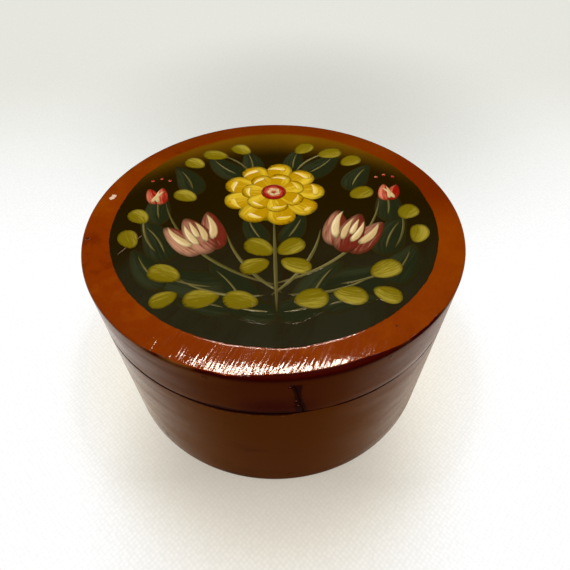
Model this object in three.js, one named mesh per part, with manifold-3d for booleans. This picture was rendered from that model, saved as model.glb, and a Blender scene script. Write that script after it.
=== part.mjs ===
// A round bentwood box with a lid that lifts off.
// The wall and the lid are hoops bent from thin strips, with planed ends that lap over each other.
// A board is pegged into each hoop, and a collar inside the body stands up to guide the lid.
// Millimetres, +Z up. The origin is the middle of the circle that the box stands on, and -Y is its front.

import * as THREE from 'three';
import { mergeVertices } from 'three/addons/utils/BufferGeometryUtils.js';
import Module from 'manifold-3d';

const wasm = await Module();
wasm.setup();

// The whole box
const boxDiameter = 190;
const boxHeight = 106;
const lidHeight = 27;

// Bent hoops
const hoopWall = 5.2;
const hoopLapLength = 34;
const rimRoundOver = 1.2;
const rimRoundLimitShare = 0.8;
const footEase = 1;

// Boards
const baseThickness = 8;
const baseRecess = 4;
const lidBoardThickness = 8;
const boardChamfer = 1.2;

// Inner collar
const collarWall = 3;
const collarLapLength = 26;
const collarEase = 1.2;
const collarEaseLimitShare = 0.4;
const lidHeadroom = 5;

// Lapped ends: how thick the planed tips stay, and how far a cut end leans over its height
const lapTipShare = 0.22;
const lapLean = 6;

// Wooden pegs
const pegDiameter = 2.6;
const pegTipShare = 0.75;
const pegBite = 12;
const pegPoint = 1;
const basePegs = 8;
const lidPegs = 8;

// Small flat-headed tacks
const tackShaft = 1;
const tackHead = 2;
const tackHeadHeight = 0.4;
const tackPoint = 0.8;
const tackSetback = 2.2;
const tackCover = 0.7;
const collarTackBiteShare = 0.35;
const lidTackShares = [0.21, 0.36, 0.78];
const bodyTackShares = [0.12, 0.31, 0.5, 0.69, 0.88];
const collarTackShares = [0.15, 0.4, 0.65];

// Clearances
const seatGap = 0.3;
const seamGap = 0.3;
const collarGap = 0.4;
const glueGap = 0.3;
const endSetback = 0.2;
const overrun = 2;

// Where the laps and the first pegs are, seen from above, counted from +X
const lidLapAt = THREE.MathUtils.degToRad(-85);
const bodyLapAt = THREE.MathUtils.degToRad(100);
const collarLapAt = THREE.MathUtils.degToRad(45);
const basePegAt = THREE.MathUtils.degToRad(-131.7);
const lidPegAt = THREE.MathUtils.degToRad(-62);

// Facets
const roundFacets = 80;
const pegFacets = 10;
const tackFacets = 8;
const rimFacets = 2;
const easeFacets = 1;
const lapFacets = 10;
const leanSteps = 3;

// Sizes that follow from the ones above
const outerRadius = boxDiameter / 2;
const hoopInnerRadius = outerRadius - hoopWall;
const boardRadius = hoopInnerRadius - seatGap;
const seamHeight = boxHeight - lidHeight;
const bodyHoopHeight = seamHeight - seamGap;
const baseTop = baseRecess + baseThickness;
const lidBoardUnderside = lidHeight - lidBoardThickness;
const rimRound = Math.min(rimRoundOver, hoopWall * rimRoundLimitShare);
const collarOuterRadius = hoopInnerRadius - collarGap;
const collarInnerRadius = collarOuterRadius - collarWall;
const collarFoot = baseTop + seatGap;
const collarHeight = boxHeight - lidBoardThickness - lidHeadroom - collarFoot;
const collarRound = Math.min(collarEase, collarWall * collarEaseLimitShare);
const basePegHeight = baseRecess + baseThickness / 2;
const lidPegHeight = lidBoardUnderside + lidBoardThickness / 2;
const pegLength = hoopWall + seatGap + pegBite;
const lapTackLength = hoopWall - tackCover - seatGap;
const collarTackLength = collarWall + collarGap + hoopWall * collarTackBiteShare;

// Finishes
const sidePaint = new THREE.MeshStandardMaterial({ color: 0x5a2410, roughness: 0.3, metalness: 0 });
const lidPaint = new THREE.MeshStandardMaterial({ color: 0x8a3a06, roughness: 0.25, metalness: 0 });
const bareWood = new THREE.MeshStandardMaterial({ color: 0xb98a56, roughness: 0.7, metalness: 0 });
const pegWood = new THREE.MeshStandardMaterial({ color: 0x4c2410, roughness: 0.45, metalness: 0 });
const tackIron = new THREE.MeshStandardMaterial({ color: 0x4a3a30, roughness: 0.5, metalness: 0.8 });

const up = new THREE.Vector3(0, 0, 1);

// Joining and cutting

function solidOf(geometry) {
  const bare = geometry.clone();
  bare.deleteAttribute('normal');
  bare.deleteAttribute('uv');
  const merged = mergeVertices(bare);
  const corners = merged.index.array;
  const kept = [];
  for (let i = 0; i < corners.length; i += 3) {
    const [a, b, c] = [corners[i], corners[i + 1], corners[i + 2]];
    if (a !== b && b !== c && c !== a) kept.push(a, b, c);
  }
  return new wasm.Manifold(new wasm.Mesh({
    numProp: 3,
    vertProperties: new Float32Array(merged.attributes.position.array),
    triVerts: new Uint32Array(kept),
  }));
}

function geometryOf(solid) {
  const mesh = solid.getMesh();
  const geometry = new THREE.BufferGeometry();
  geometry.setAttribute('position', new THREE.BufferAttribute(mesh.vertProperties, mesh.numProp));
  geometry.setIndex(new THREE.BufferAttribute(mesh.triVerts, 1));
  geometry.computeVertexNormals();
  return geometry;
}

function cutAway(blank, tools) {
  const cut = tools.reduce((solid, tool) => solid.subtract(solidOf(tool)), solidOf(blank));
  return geometryOf(cut);
}

// Turned shapes: an outline of radius and height, revolved about Z

function turned(outline, facets) {
  return new THREE.LatheGeometry(outline, facets).rotateX(Math.PI / 2);
}

function disc(radius, thickness, chamferAtTop) {
  const top = chamferAtTop ? radius - boardChamfer : radius;
  const bottom = chamferAtTop ? radius : radius - boardChamfer;
  const shoulder = chamferAtTop ? thickness - boardChamfer : boardChamfer;
  return turned([
    new THREE.Vector2(0, 0),
    new THREE.Vector2(bottom, 0),
    new THREE.Vector2(radius, shoulder),
    new THREE.Vector2(top, thickness),
    new THREE.Vector2(0, thickness),
  ], roundFacets);
}

function hoopBlank(innerRadius, wall, height, rounds) {
  const radius = innerRadius + wall;
  const { foot, rim, innerRim, facets } = rounds;
  const outline = new THREE.Path();
  outline.moveTo(innerRadius, 0);
  outline.lineTo(radius - foot, 0);
  if (foot > 0) outline.absarc(radius - foot, foot, foot, -Math.PI / 2, 0);
  outline.lineTo(radius, height - rim);
  if (rim > 0) outline.absarc(radius - rim, height - rim, rim, 0, Math.PI / 2);
  outline.lineTo(innerRadius + innerRim, height);
  if (innerRim > 0) {
    outline.absarc(innerRadius + innerRim, height - innerRim, innerRim, Math.PI / 2, Math.PI);
  }
  outline.closePath();
  return turned(outline.getPoints(facets), roundFacets);
}

// Lapped ends

// The angle of a hoop's cut end at a height: the cut leans, and the lap's middle height is at lapAt.
function lapAngle(hoop, height) {
  const lean = lapLean / (hoop.innerRadius + hoop.wall);
  return hoop.lapAt - lean * (height / hoop.height - 1 / 2);
}

// What parts the two planed ends: a thin sloping glue line that runs from a groove in the outer face
// to a groove in the inner face, drawn from above and leaned over its height.
function lapCut(hoop) {
  const { innerRadius, wall, height, lapLength } = hoop;
  const radius = innerRadius + wall;
  const tip = wall * lapTipShare;
  const sweep = lapLength / radius;
  const rise = wall - 2 * tip - glueGap;
  const depth = tip + glueGap;
  const flare = (depth + overrun) / radius;
  const outline = [];
  const corner = (angle, at) => {
    outline.push(new THREE.Vector2(at * Math.cos(angle), at * Math.sin(angle)));
  };
  corner(0, radius + overrun);
  for (let i = lapFacets; i >= 0; i--) {
    const share = i / lapFacets;
    corner((share - 1) * sweep, innerRadius + depth + rise * share);
  }
  corner(-sweep - flare, innerRadius - overrun);
  corner(-sweep, innerRadius - overrun);
  for (let i = 0; i <= lapFacets; i++) {
    const share = i / lapFacets;
    corner((share - 1) * sweep, innerRadius + tip + rise * share);
  }
  corner(flare, radius + overrun);
  const cut = new THREE.ExtrudeGeometry(new THREE.Shape(outline), {
    depth: height + 2 * overrun,
    steps: leanSteps,
    bevelEnabled: false,
  });
  cut.translate(0, 0, -overrun);
  const corners = cut.attributes.position;
  for (let i = 0; i < corners.count; i++) {
    const spot = new THREE.Vector3().fromBufferAttribute(corners, i);
    spot.applyAxisAngle(up, lapAngle(hoop, spot.z));
    corners.setXYZ(i, spot.x, spot.y, spot.z);
  }
  return cut;
}

// Pegs and tacks: their own +Y points out of the wood, from a point on its surface

function facing(angle, radius, height, inward = false) {
  const out = new THREE.Vector3(Math.cos(angle), Math.sin(angle), 0);
  const spot = out.clone().multiplyScalar(radius).setZ(height);
  if (inward) out.negate();
  const side = new THREE.Vector3().crossVectors(out, up);
  return new THREE.Matrix4().makeBasis(side, out, up).setPosition(spot);
}

function hole(diameter, depth, facets, place) {
  const radius = diameter / 2 + seatGap;
  const length = depth + seatGap + overrun;
  const bit = new THREE.CylinderGeometry(radius, radius, length, facets);
  return bit.translate(0, overrun - length / 2, 0).applyMatrix4(place);
}

function pegGeometry() {
  const radius = pegDiameter / 2;
  return new THREE.LatheGeometry([
    new THREE.Vector2(0, -pegLength),
    new THREE.Vector2(radius * pegTipShare - pegPoint / 2, -pegLength),
    new THREE.Vector2(radius * pegTipShare, pegPoint - pegLength),
    new THREE.Vector2(radius, -hoopWall),
    new THREE.Vector2(radius, -endSetback),
    new THREE.Vector2(0, -endSetback),
  ], pegFacets);
}

function tackGeometry(length) {
  return new THREE.LatheGeometry([
    new THREE.Vector2(0, -length),
    new THREE.Vector2(tackShaft / 2, tackPoint - length),
    new THREE.Vector2(tackShaft / 2, -tackHeadHeight),
    new THREE.Vector2(tackHead / 2, -tackHeadHeight),
    new THREE.Vector2(tackHead / 2, -tackHeadHeight / 2),
    new THREE.Vector2(0, 0),
  ], tackFacets);
}

function tackHoles(length, place) {
  return [
    hole(tackShaft, length, tackFacets, place),
    hole(tackHead, tackHeadHeight, tackFacets, place),
  ];
}

// Places of what repeats

const turn = 2 * Math.PI;
const ringOf = (count, start) => Array.from({ length: count }, (_, i) => start + turn * i / count);
const basePegAngles = ringOf(basePegs, basePegAt);
const lidPegAngles = ringOf(lidPegs, lidPegAt);

const bodyHoop = {
  innerRadius: hoopInnerRadius,
  wall: hoopWall,
  height: bodyHoopHeight,
  lapLength: hoopLapLength,
  lapAt: bodyLapAt,
};
const lidHoop = { ...bodyHoop, height: lidHeight, lapAt: lidLapAt };
const collarHoop = {
  innerRadius: collarInnerRadius,
  wall: collarWall,
  height: collarHeight,
  lapLength: collarLapLength,
  lapAt: collarLapAt,
};

function outerTackPlaces(hoop, shares) {
  const back = tackSetback / outerRadius;
  return shares.map((share) => {
    const height = hoop.height * share;
    return facing(lapAngle(hoop, height) - back, outerRadius, height);
  });
}

// The collar is tacked from inside, beside its inner tip, into the wall behind it.
function collarTackPlaces(lift) {
  const sweep = collarLapLength / collarOuterRadius;
  const back = tackSetback / collarInnerRadius;
  return collarTackShares.map((share) => {
    const height = collarHeight * share;
    const angle = lapAngle(collarHoop, height) - sweep + back;
    return facing(angle, collarInnerRadius, height + lift, true);
  });
}

// The pieces

function piece(name, geometry, material) {
  const mesh = new THREE.Mesh(geometry, material);
  mesh.name = name;
  return mesh;
}

function fixings(name, geometry, material, places) {
  return places.map((place, i) => {
    const mesh = piece(`${name}_${i + 1}`, geometry, material);
    mesh.applyMatrix4(place);
    return mesh;
  });
}

const wallPlaces = (angles, height) => angles.map((angle) => facing(angle, outerRadius, height));
const pegHoles = (places) => places.map((place) => hole(pegDiameter, pegLength, pegFacets, place));

function baseBoard() {
  const holes = pegHoles(wallPlaces(basePegAngles, baseThickness / 2));
  const board = piece('base_board', cutAway(disc(boardRadius, baseThickness, true), holes), bareWood);
  board.position.z = baseRecess;
  return board;
}

function bodyHoopPiece() {
  const rounds = { foot: footEase, rim: 0, innerRim: 0, facets: easeFacets };
  const blank = hoopBlank(hoopInnerRadius, hoopWall, bodyHoopHeight, rounds);
  return piece('body_hoop', cutAway(blank, [
    lapCut(bodyHoop),
    ...pegHoles(wallPlaces(basePegAngles, basePegHeight)),
    ...outerTackPlaces(bodyHoop, bodyTackShares).flatMap((place) => tackHoles(lapTackLength, place)),
    ...collarTackPlaces(collarFoot).map((place) => hole(tackShaft, collarTackLength, tackFacets, place)),
  ]), sidePaint);
}

function innerCollar() {
  const rounds = { foot: 0, rim: collarRound, innerRim: collarRound, facets: easeFacets };
  const blank = hoopBlank(collarInnerRadius, collarWall, collarHeight, rounds);
  const collar = piece('inner_collar', cutAway(blank, [
    lapCut(collarHoop),
    ...collarTackPlaces(0).flatMap((place) => tackHoles(collarTackLength, place)),
  ]), bareWood);
  collar.position.z = collarFoot;
  return collar;
}

function lidHoopPiece() {
  const rounds = { foot: 0, rim: rimRound, innerRim: 0, facets: rimFacets };
  const blank = hoopBlank(hoopInnerRadius, hoopWall, lidHeight, rounds);
  return piece('lid_hoop', cutAway(blank, [
    lapCut(lidHoop),
    ...pegHoles(wallPlaces(lidPegAngles, lidPegHeight)),
    ...outerTackPlaces(lidHoop, lidTackShares).flatMap((place) => tackHoles(lapTackLength, place)),
  ]), sidePaint);
}

function lidBoard() {
  const holes = pegHoles(wallPlaces(lidPegAngles, lidBoardThickness / 2));
  const board = piece('lid_board', cutAway(disc(boardRadius, lidBoardThickness, false), holes), lidPaint);
  board.position.z = lidBoardUnderside;
  return board;
}

const lapTack = tackGeometry(lapTackLength);

const body = new THREE.Group();
body.add(
  baseBoard(),
  bodyHoopPiece(),
  innerCollar(),
  ...fixings('base_peg', pegGeometry(), pegWood, wallPlaces(basePegAngles, basePegHeight)),
  ...fixings('body_lap_tack', lapTack, tackIron, outerTackPlaces(bodyHoop, bodyTackShares)),
  ...fixings('collar_tack', tackGeometry(collarTackLength), tackIron, collarTackPlaces(collarFoot)),
);

const lid = new THREE.Group();
lid.position.z = seamHeight;
lid.add(
  lidHoopPiece(),
  lidBoard(),
  ...fixings('lid_peg', pegGeometry(), pegWood, wallPlaces(lidPegAngles, lidPegHeight)),
  ...fixings('lid_lap_tack', lapTack, tackIron, outerTackPlaces(lidHoop, lidTackShares)),
);

const box = new THREE.Group();
box.add(body, lid);

export default box;
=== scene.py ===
"""Builds the looks of a round bentwood box with a lift-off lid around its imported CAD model.

The wall and the lid's side are bent hoops, painted and varnished. The lid board carries a dark disc
with a bouquet laid on in single brush strokes. Inside and underneath the wood is bare.
Lengths are metres, +Z is up and -Y is the front.
"""

import math
import random

import bpy
from bpy.props import FloatProperty, FloatVectorProperty, IntProperty, PointerProperty
from mathutils import Matrix, Vector, noise


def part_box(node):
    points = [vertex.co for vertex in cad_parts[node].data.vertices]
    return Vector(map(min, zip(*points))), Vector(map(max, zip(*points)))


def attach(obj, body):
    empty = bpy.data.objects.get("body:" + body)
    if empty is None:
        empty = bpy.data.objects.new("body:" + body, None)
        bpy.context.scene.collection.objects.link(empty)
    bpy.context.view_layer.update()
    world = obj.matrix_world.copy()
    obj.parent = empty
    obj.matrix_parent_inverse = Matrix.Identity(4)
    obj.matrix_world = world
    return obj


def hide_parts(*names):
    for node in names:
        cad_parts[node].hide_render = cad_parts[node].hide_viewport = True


bl_info = {
    "name": "Round bentwood box",
    "version": (1, 0, 0),
    "blender": (4, 5, 0),
    "location": "3D View > Sidebar > Bentwood box",
    "description": "Builds a painted round box with a lift-off lid around its packed CAD model",
    "category": "Object",
}

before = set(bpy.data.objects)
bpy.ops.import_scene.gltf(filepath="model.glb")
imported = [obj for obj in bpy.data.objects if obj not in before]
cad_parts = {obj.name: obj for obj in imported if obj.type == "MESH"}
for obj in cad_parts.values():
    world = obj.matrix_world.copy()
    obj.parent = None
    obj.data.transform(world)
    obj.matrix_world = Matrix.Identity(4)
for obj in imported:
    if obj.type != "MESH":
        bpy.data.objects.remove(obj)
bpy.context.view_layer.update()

MM = 0.001

# Sizes read from the frame
wall_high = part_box("body_hoop")[1]
rim_low, rim_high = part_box("lid_hoop")
collar_low, collar_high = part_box("inner_collar")
base_low, base_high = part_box("base_board")
board_low, board_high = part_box("lid_board")
OUTER_RADIUS = max(wall_high.x, wall_high.y)
COLLAR_RADIUS = max(collar_high.x, collar_high.y)
BASE_RADIUS = max(base_high.x, base_high.y)

# Where the cut ends of the hoops are, seen from above, counted from +X
LID_LAP = math.radians(-85)
BODY_LAP = math.radians(100)
COLLAR_LAP = math.radians(45)

# Where the side's paint laps furthest over onto the lid, and how far from there that is full and ends
RIM_SMEAR = math.radians(-80)
SMEAR_FULL = 16 * MM
SMEAR_END = 38 * MM

# Where paint has closed the seam: middle and half width, in degrees
SEAM_CLOSED = ((-79, 5), (-52, 4))

# The red spot at the lid's lap is long: how much a distance along X, Y and Z counts for it
LONG_SPOT = Vector((0.6, 0.6, 1.0))

# Marks on the border: place in shares of the radius, radius and paint
BORDER_MARKS = (
    (-0.957, -0.150, 1.0 * MM, "side_dark"), (-0.966, -0.253, 0.7 * MM, "crevice"),
    (0.512, -0.752, 0.5 * MM, "side_dark"), (-0.912, 0.190, 1.5 * MM, "chip"),
    (-0.904, 0.208, 1.4 * MM, "chip"),
)

# The darker patch on the border: place in shares of the radius, and where it is full and ends
DARK_PATCH = (0.89, 0.32)
PATCH_FULL = 12 * MM
PATCH_END = 42 * MM

# The scratch on the disc: its turn, and the shift in shares of the radius that puts it in the middle
SCRATCH_TURN = math.radians(-56.1)
SCRATCH_SHIFT = (0.730, 0.1965)

# Which way the lid was brushed
BRUSH_TURN = math.radians(24)

# How far the lid's top stays below the box's height, a cutter reaches beyond what it cuts, a peg's head
# stands out of its hoop, and the lid's paint reaches down the board's edge
TOP_ROOM = 0.05 * MM
OVERCUT = 1 * MM
PEG_PROUD = 0.02 * MM
PAINTED_EDGE = 1.5 * MM

# Chamfers of the boards, and how far in from its edge the lid board falls to its dish
BASE_CHAMFER = 1.1 * MM
BOARD_CHAMFER = 0.8 * MM
BOARD_FALL = 10 * MM

# Gloss
PAINT_IOR = 1.03
SIDE_COAT_IOR = 1.16
SIDE_COAT_ROUGHNESS = 0.16
SIDE_BLOOM = 0.12
VARNISH_IOR = 1.5
VARNISH_ROUGHNESS = 0.06
STREAK_ROUGHNESS = 0.05
STROKE_IOR = 1.35
STROKE_ROUGHNESS = 0.08
RELIEF = 0.11 * MM
SIDE_RELIEF = 0.05 * MM

# Facets
ROUND_STEPS = 224
ARC_STEPS = 6
SIDE_STEP = 5 * MM
HOLE_STEPS = 24
TACK_STEPS = 16
LAP_STEPS = 12
LAP_LEVELS = 24
FALL_STEPS = 6
COVE_STEPS = 8

# How far the strip lamp hangs to the right, the greyer patch of painted shade lies to the right, and the
# middle of the background's near edge lies to the left
STRIP_ASIDE = 6 * MM
DIM_ASIDE = 40 * MM
FLOOR_SHIFT = 5 * MM

# The sky: its colour, and the angles over the horizon between which the light near the floor, the upper
# sky and the top of the sky come in
SKY_COLOUR = (1.0, 0.955, 0.89, 1.0)
LOW_SKY = (26, 16)
HIGH_SKY = (40, 47)
TOP_SKY = (61, 68)


def shade(red, green, blue):
    """Turns a colour written in 0 to 255 into the linear values that a colour property holds."""

    def linear(value):
        share = value / 255
        return share / 12.92 if share <= 0.04045 else ((share + 0.055) / 1.055) ** 2.4

    return (linear(red), linear(green), linear(blue), 1.0)


def length(label, text, default, **more):
    """A property that holds a length."""
    return FloatProperty(name=label, description=text, default=default, unit="LENGTH", **more)


def colour(label, text, default):
    """A property that holds a colour."""
    return FloatVectorProperty(
        name=label, description=text, default=default, subtype="COLOR", size=4, min=0, max=1
    )


# Settings


class BoxSizes(bpy.types.PropertyGroup):
    """Sizes of the wooden pieces."""

    outer_radius: length("Outer radius", "Radius of the wall and of the lid", OUTER_RADIUS)
    hoop_wall: length("Hoop thickness", "Thickness of the bent strips", 5.2 * MM)
    paint_room: length("Paint room", "How far the hoops stay inside the radius", 0.12 * MM)
    seam_height: length("Seam height", "Height of the lid's lower edge", rim_low.z)
    body_top: length("Body height", "Height of the wall's upper edge", wall_high.z)
    box_height: length("Box height", "Height of the closed box", rim_high.z)
    foot_ease: length("Foot rounding", "Rounding of the wall's lower edge", 1.0 * MM)
    foot_lift: length("Foot lift", "How far the uneven foot stays above the floor", 0.06 * MM)
    rim_round: length("Rim rounding", "Rounding of the lid's upper edge", 1.1 * MM)
    rim_line: length("Rim line", "How far the side's paint laps over onto the lid", 0.75 * MM)
    rim_smear: length("Rim smear", "How far it laps over beside the lid's lap", 2.6 * MM)
    seam_ease: length("Seam rounding", "Widest rounding of the two edges at the seam", 0.8 * MM)
    # Painted shade: how far the dark line painted along the seam reaches, left of the lap and elsewhere.
    seam_shade_line: length("Grime line", "Reach of the grime beside the seam, left of the lap", 1.9 * MM)
    hair_line: length("Hair line", "Reach of the grime beside the rest of the seam", 0.7 * MM)
    edge_ease: length("Small edge rounding", "Rounding of the other edges", 0.35 * MM)
    collar_wall: length("Collar thickness", "Thickness of the inner collar", 3.0 * MM)
    collar_ease: length("Collar rounding", "Rounding of the collar's outer upper edge", 1.2 * MM)
    board_thickness: length("Lid board", "Thickness of the lid board", board_high.z - board_low.z)
    board_dish: length("Board dish", "How far the lid board lies below its border", 0.22 * MM)
    board_fit: length("Board fit", "Room between the lid board and its hoop", 0.02 * MM)
    lap_length: length("Lap length", "Length of the overlap of a hoop's planed ends", 34 * MM)
    collar_lap_length: length("Collar lap length", "Length of the collar's overlap", 26 * MM)
    lap_tip: length("Lap tip", "Thickness of a planed end", 1.1 * MM)
    lap_lean: length("Lap lean", "How far a cut end leans over its height", 4.4 * MM)
    lap_sway: length("Lap sway", "Unevenness of a cut end", 0.5 * MM)
    groove_width: length("Groove width", "Width of the groove at a cut end", 0.6 * MM)
    lap_start: length("Lap start", "How far below the lid's top its lap begins to show", 4 * MM)
    # Painted shade: a dark line along the foot, where the box meets the floor.
    foot_shade_line: length("Foot line", "Height of the dark worn line at the wall's foot", 0.8 * MM)
    # Painted shade: a dark band along the lid's lap.
    lap_shade_band: length("Lap stain", "Width of the dark stain along the lid's lap", 2.6 * MM)
    glue_line: length("Glue line", "Width of the line between two lapped ends", 0.22 * MM)
    waver: length("Waver", "Unevenness of the hand-bent hoops", 0.1 * MM)
    peg_radius: length("Peg radius", "Radius of the wooden pegs", 1.3 * MM)
    peg_length: length("Peg length", "Length of the wooden pegs", 17 * MM)
    peg_fit: length("Peg fit", "Room around a peg in its hole", 0.12 * MM)
    tack_radius: length("Tack seat", "Radius of the seat for a tack's head", 1.0 * MM)
    tack_seat: length("Tack seat depth", "Depth of the seat for a tack's head", 0.45 * MM)
    lap_tack: length("Lap tack", "Length of the tacks in the wall and the lid", 3.8 * MM)
    collar_tack: length("Collar tack", "Length of the tacks in the collar", 4.8 * MM)
    disc_radius: length("Disc radius", "Radius of the lid's dark disc", 0.861 * OUTER_RADIUS)


class BoxPaints(bpy.types.PropertyGroup):
    """Colours of the painted and bare surfaces."""

    side: colour("Side paint", "Brown paint of the wall", shade(114, 56, 3))
    side_dark: colour("Side paint, dark", "Darker passes of the brush on the wall", shade(80, 34, 4))
    side_red: colour("Lid side paint", "Redder brown on the side of the lid", shade(98, 38, 0))
    # Painted sheen: lighter paint towards the left and right, also used for painted glints under the seam and
    # a painted highlight on the lid's side.
    painted_sheen: colour("Side paint, worn", "Thinner, lighter paint towards the sides", shade(158, 102, 44))
    bloom: colour("Bloom", "Warm bloom of the old varnish on the sides", shade(255, 178, 84))
    lap_red: colour("Paint at the lap", "Dark red around the lid's lap", shade(74, 2, 0))
    rim_red: colour("Rim line", "Dark red along the lid's edge", shade(60, 6, 1))
    border: colour("Border paint", "Orange brown border of the lid", shade(137, 53, 0))
    border_warm: colour("Border paint, warm", "Thinner, yellower passes", shade(146, 64, 1))
    border_dark: colour("Border paint, dark", "Thicker, redder passes", shade(118, 40, 0))
    border_far: colour("Border paint, far", "Darker varnish on the border's far side", shade(108, 43, 0))
    disc: colour("Disc paint", "Brown-black paint of the lid's disc", shade(35, 24, 1))
    disc_haze: colour("Disc glaze", "Grey green glaze on the disc's near half", shade(43, 42, 25))
    disc_olive: colour("Disc glow", "Olive glow along the disc's far edge", shade(120, 82, 6))
    # Painted shade: the dark colour painted into the seams, the grooves, the foot line and the lap.
    crevice: colour("Crevices", "Dirt in seams and grooves", shade(46, 2, 0))
    chip: colour("Chip", "Bare ground where the paint is chipped", shade(236, 208, 180))
    wood_pale: colour("Bare wood, pale", "Early wood inside and underneath", shade(218, 182, 134))
    wood_dark: colour("Bare wood, dark", "Late wood inside and underneath", shade(178, 134, 88))
    peg: colour("Pegs", "Stained end grain of the pegs", shade(34, 14, 6))
    iron: colour("Tacks", "Iron of the tacks", shade(128, 78, 56))


class BouquetSettings(bpy.types.PropertyGroup):
    """Scale and colours of the bouquet on the lid."""

    reach: length("Reach", "Radius that the bouquet's layout is drawn for", OUTER_RADIUS)
    layer: length("Layer", "Height of one layer of paint over the one below", 0.028 * MM)
    dome: length("Dome", "How far a stroke swells above its edge", 0.03 * MM)
    seed: IntProperty(name="Seed", description="Start of the strokes' small variations", default=7)
    lime: colour("Lime", "Small leaf dabs", shade(122, 108, 10))
    lime_light: colour("Lime, light", "Streaks in the leaf dabs", shade(170, 156, 54))
    leaf: colour("Leaf green", "Large leaves in the shade", shade(35, 40, 19))
    leaf_light: colour("Leaf green, light", "Streaks in the large leaves", shade(50, 55, 33))
    stem: colour("Stem", "Stems and veins", shade(84, 78, 36))
    stem_light: colour("Stem, light", "Streaks in the stems", shade(136, 128, 78))
    yellow: colour("Yellow", "Petals of the rosette", shade(186, 144, 4))
    yellow_light: colour("Yellow, light", "Streaks in the rosette", shade(226, 196, 50))
    red: colour("Red", "Hearts and buds", shade(150, 22, 8))
    red_light: colour("Red, light", "Streaks in the red", shade(232, 138, 104))
    mauve: colour("Mauve", "Tulip petals in the shade", shade(112, 40, 26))
    mauve_light: colour("Mauve, light", "Streaks in the tulips", shade(196, 146, 116))
    cream: colour("Cream", "Highlights", shade(206, 180, 124))
    cream_light: colour("Cream, light", "Streaks in the highlights", shade(250, 232, 184))
    under: colour("Stroke edge", "What shows through where a stroke is thin", shade(46, 34, 4))


class StudioSettings(bpy.types.PropertyGroup):
    """Camera, floor and light."""

    lens: FloatProperty(name="Lens", description="Focal length", default=27.883, unit="CAMERA")
    camera_back: length("Camera distance", "How far the camera stands to the front", 178.01 * MM)
    camera_height: length("Camera height", "Height of the camera over the floor", 249.95 * MM)
    camera_tilt: FloatProperty(
        name="Camera tilt", description="How far the camera looks down",
        default=math.radians(47.832), subtype="ANGLE",
    )
    camera_turn: FloatProperty(
        name="Camera turn", description="How far the camera looks to the right",
        default=math.radians(1.773), subtype="ANGLE",
    )
    strip_length: length("Strip length", "Length of the strip lamp behind the box", 184 * MM)
    strip_width: length("Strip width", "Width of the strip lamp", 10 * MM)
    strip_height: length("Strip height", "Height of the strip lamp over the floor", 400 * MM)
    strip_back: length("Strip place", "How far the strip lamp hangs behind the middle", 88 * MM)
    strip_colour: colour("Strip colour", "Warm light of the strip lamp", (1.0, 0.84, 0.70, 1.0))
    strip_power: FloatProperty(
        name="Strip power", description="Power of the strip lamp", default=0.48, unit="POWER"
    )
    soft_size: length("Soft lamp", "Side of the two square soft lamps", 350 * MM)
    soft_aside: length("Soft lamp place", "How far a soft lamp hangs to its side", 380 * MM)
    soft_front: length("Soft lamp front", "How far the soft lamps hang to the front", 100 * MM)
    soft_height: length("Soft lamp height", "Height of the soft lamps over the floor", 950 * MM)
    soft_power: FloatProperty(
        name="Soft lamp power", description="Power of each soft lamp", default=2.5, unit="POWER"
    )
    floor_radius: length("Floor radius", "Radius of the flat floor", 1.5)
    floor_bend: length("Floor bend", "Radius of the bend at the floor's edge", 0.3)
    cove_height: length("Cove height", "Height of the floor's upturned edge", 0.8)
    # The warm patch is painted shadow on the background before the box: its place and radius.
    warm_place: length("Warm patch place", "How far the warm patch lies to the front", 80 * MM)
    warm_reach: length("Warm patch", "Radius of the warm patch on the floor", 115 * MM)
    floor: colour("Floor", "Pale floor", shade(238, 230, 213))
    glow_side: colour("Background", "White of the background around the box", shade(255, 255, 255))
    # Painted shade on the background: the near and front whites are darker at the foot of and before the box,
    # the back and dim whites greyer behind it.
    glow_near: colour("Background, near", "Warm white at the foot of the box", shade(250, 244, 230))
    glow_front: colour("Background, front", "Warmer white before the box", shade(228, 221, 207))
    glow_back: colour("Background, back", "Cool white far behind the box", shade(229, 229, 221))
    glow_dim: colour("Background, dim", "Greyer patch behind the box", shade(209, 209, 201))
    dim_place: length("Dim patch place", "How far the greyer patch lies to the back", 0.33)
    dim_reach: length("Dim patch", "Radius of the greyer patch on the floor", 0.31)
    thread: length("Thread", "Spacing of the threads in the floor's cloth", 2.1 * MM)
    weave: FloatProperty(name="Weave", description="Contrast of the threads", default=0.09)
    floor_share: FloatProperty(
        name="Background share", description="How much of the background shows at the foot", default=0.45,
    )
    sky: FloatProperty(name="Sky", description="Brightness of the sky overhead", default=0.2)
    upper_sky: FloatProperty(name="Upper sky", description="Brightness half way up", default=0.02)
    horizon: FloatProperty(name="Horizon", description="Brightness near the floor", default=0.8)


# Modelling


def deselect():
    """Deselects every object."""
    bpy.ops.object.select_all(action="DESELECT")


def mode(name):
    """Goes into EDIT or OBJECT mode."""
    bpy.ops.object.mode_set(mode=name)


def select_all():
    """Selects the whole mesh in edit mode."""
    bpy.ops.mesh.select_all(action="SELECT")


def select_only(piece):
    """Makes one object the only one that operators act on."""
    deselect()
    piece.select_set(True)
    bpy.context.view_layer.objects.active = piece


def join(pieces):
    """Joins objects into the first of them."""
    deselect()
    for piece in pieces:
        piece.select_set(True)
    bpy.context.view_layer.objects.active = pieces[0]
    bpy.ops.object.join()
    return pieces[0]


def place_in_mesh(piece):
    """Moves an object's place, turn and size into its mesh, so that it sits at the origin."""
    select_only(piece)
    bpy.ops.object.transform_apply(location=True, rotation=True, scale=True)


def modify(piece, kind, **settings):
    """Adds a modifier with these settings and applies it."""
    modifier = piece.modifiers.new(kind.title(), kind)
    for name, value in settings.items():
        setattr(modifier, name, value)
    select_only(piece)
    bpy.ops.object.modifier_apply(modifier=modifier.name)


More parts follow.
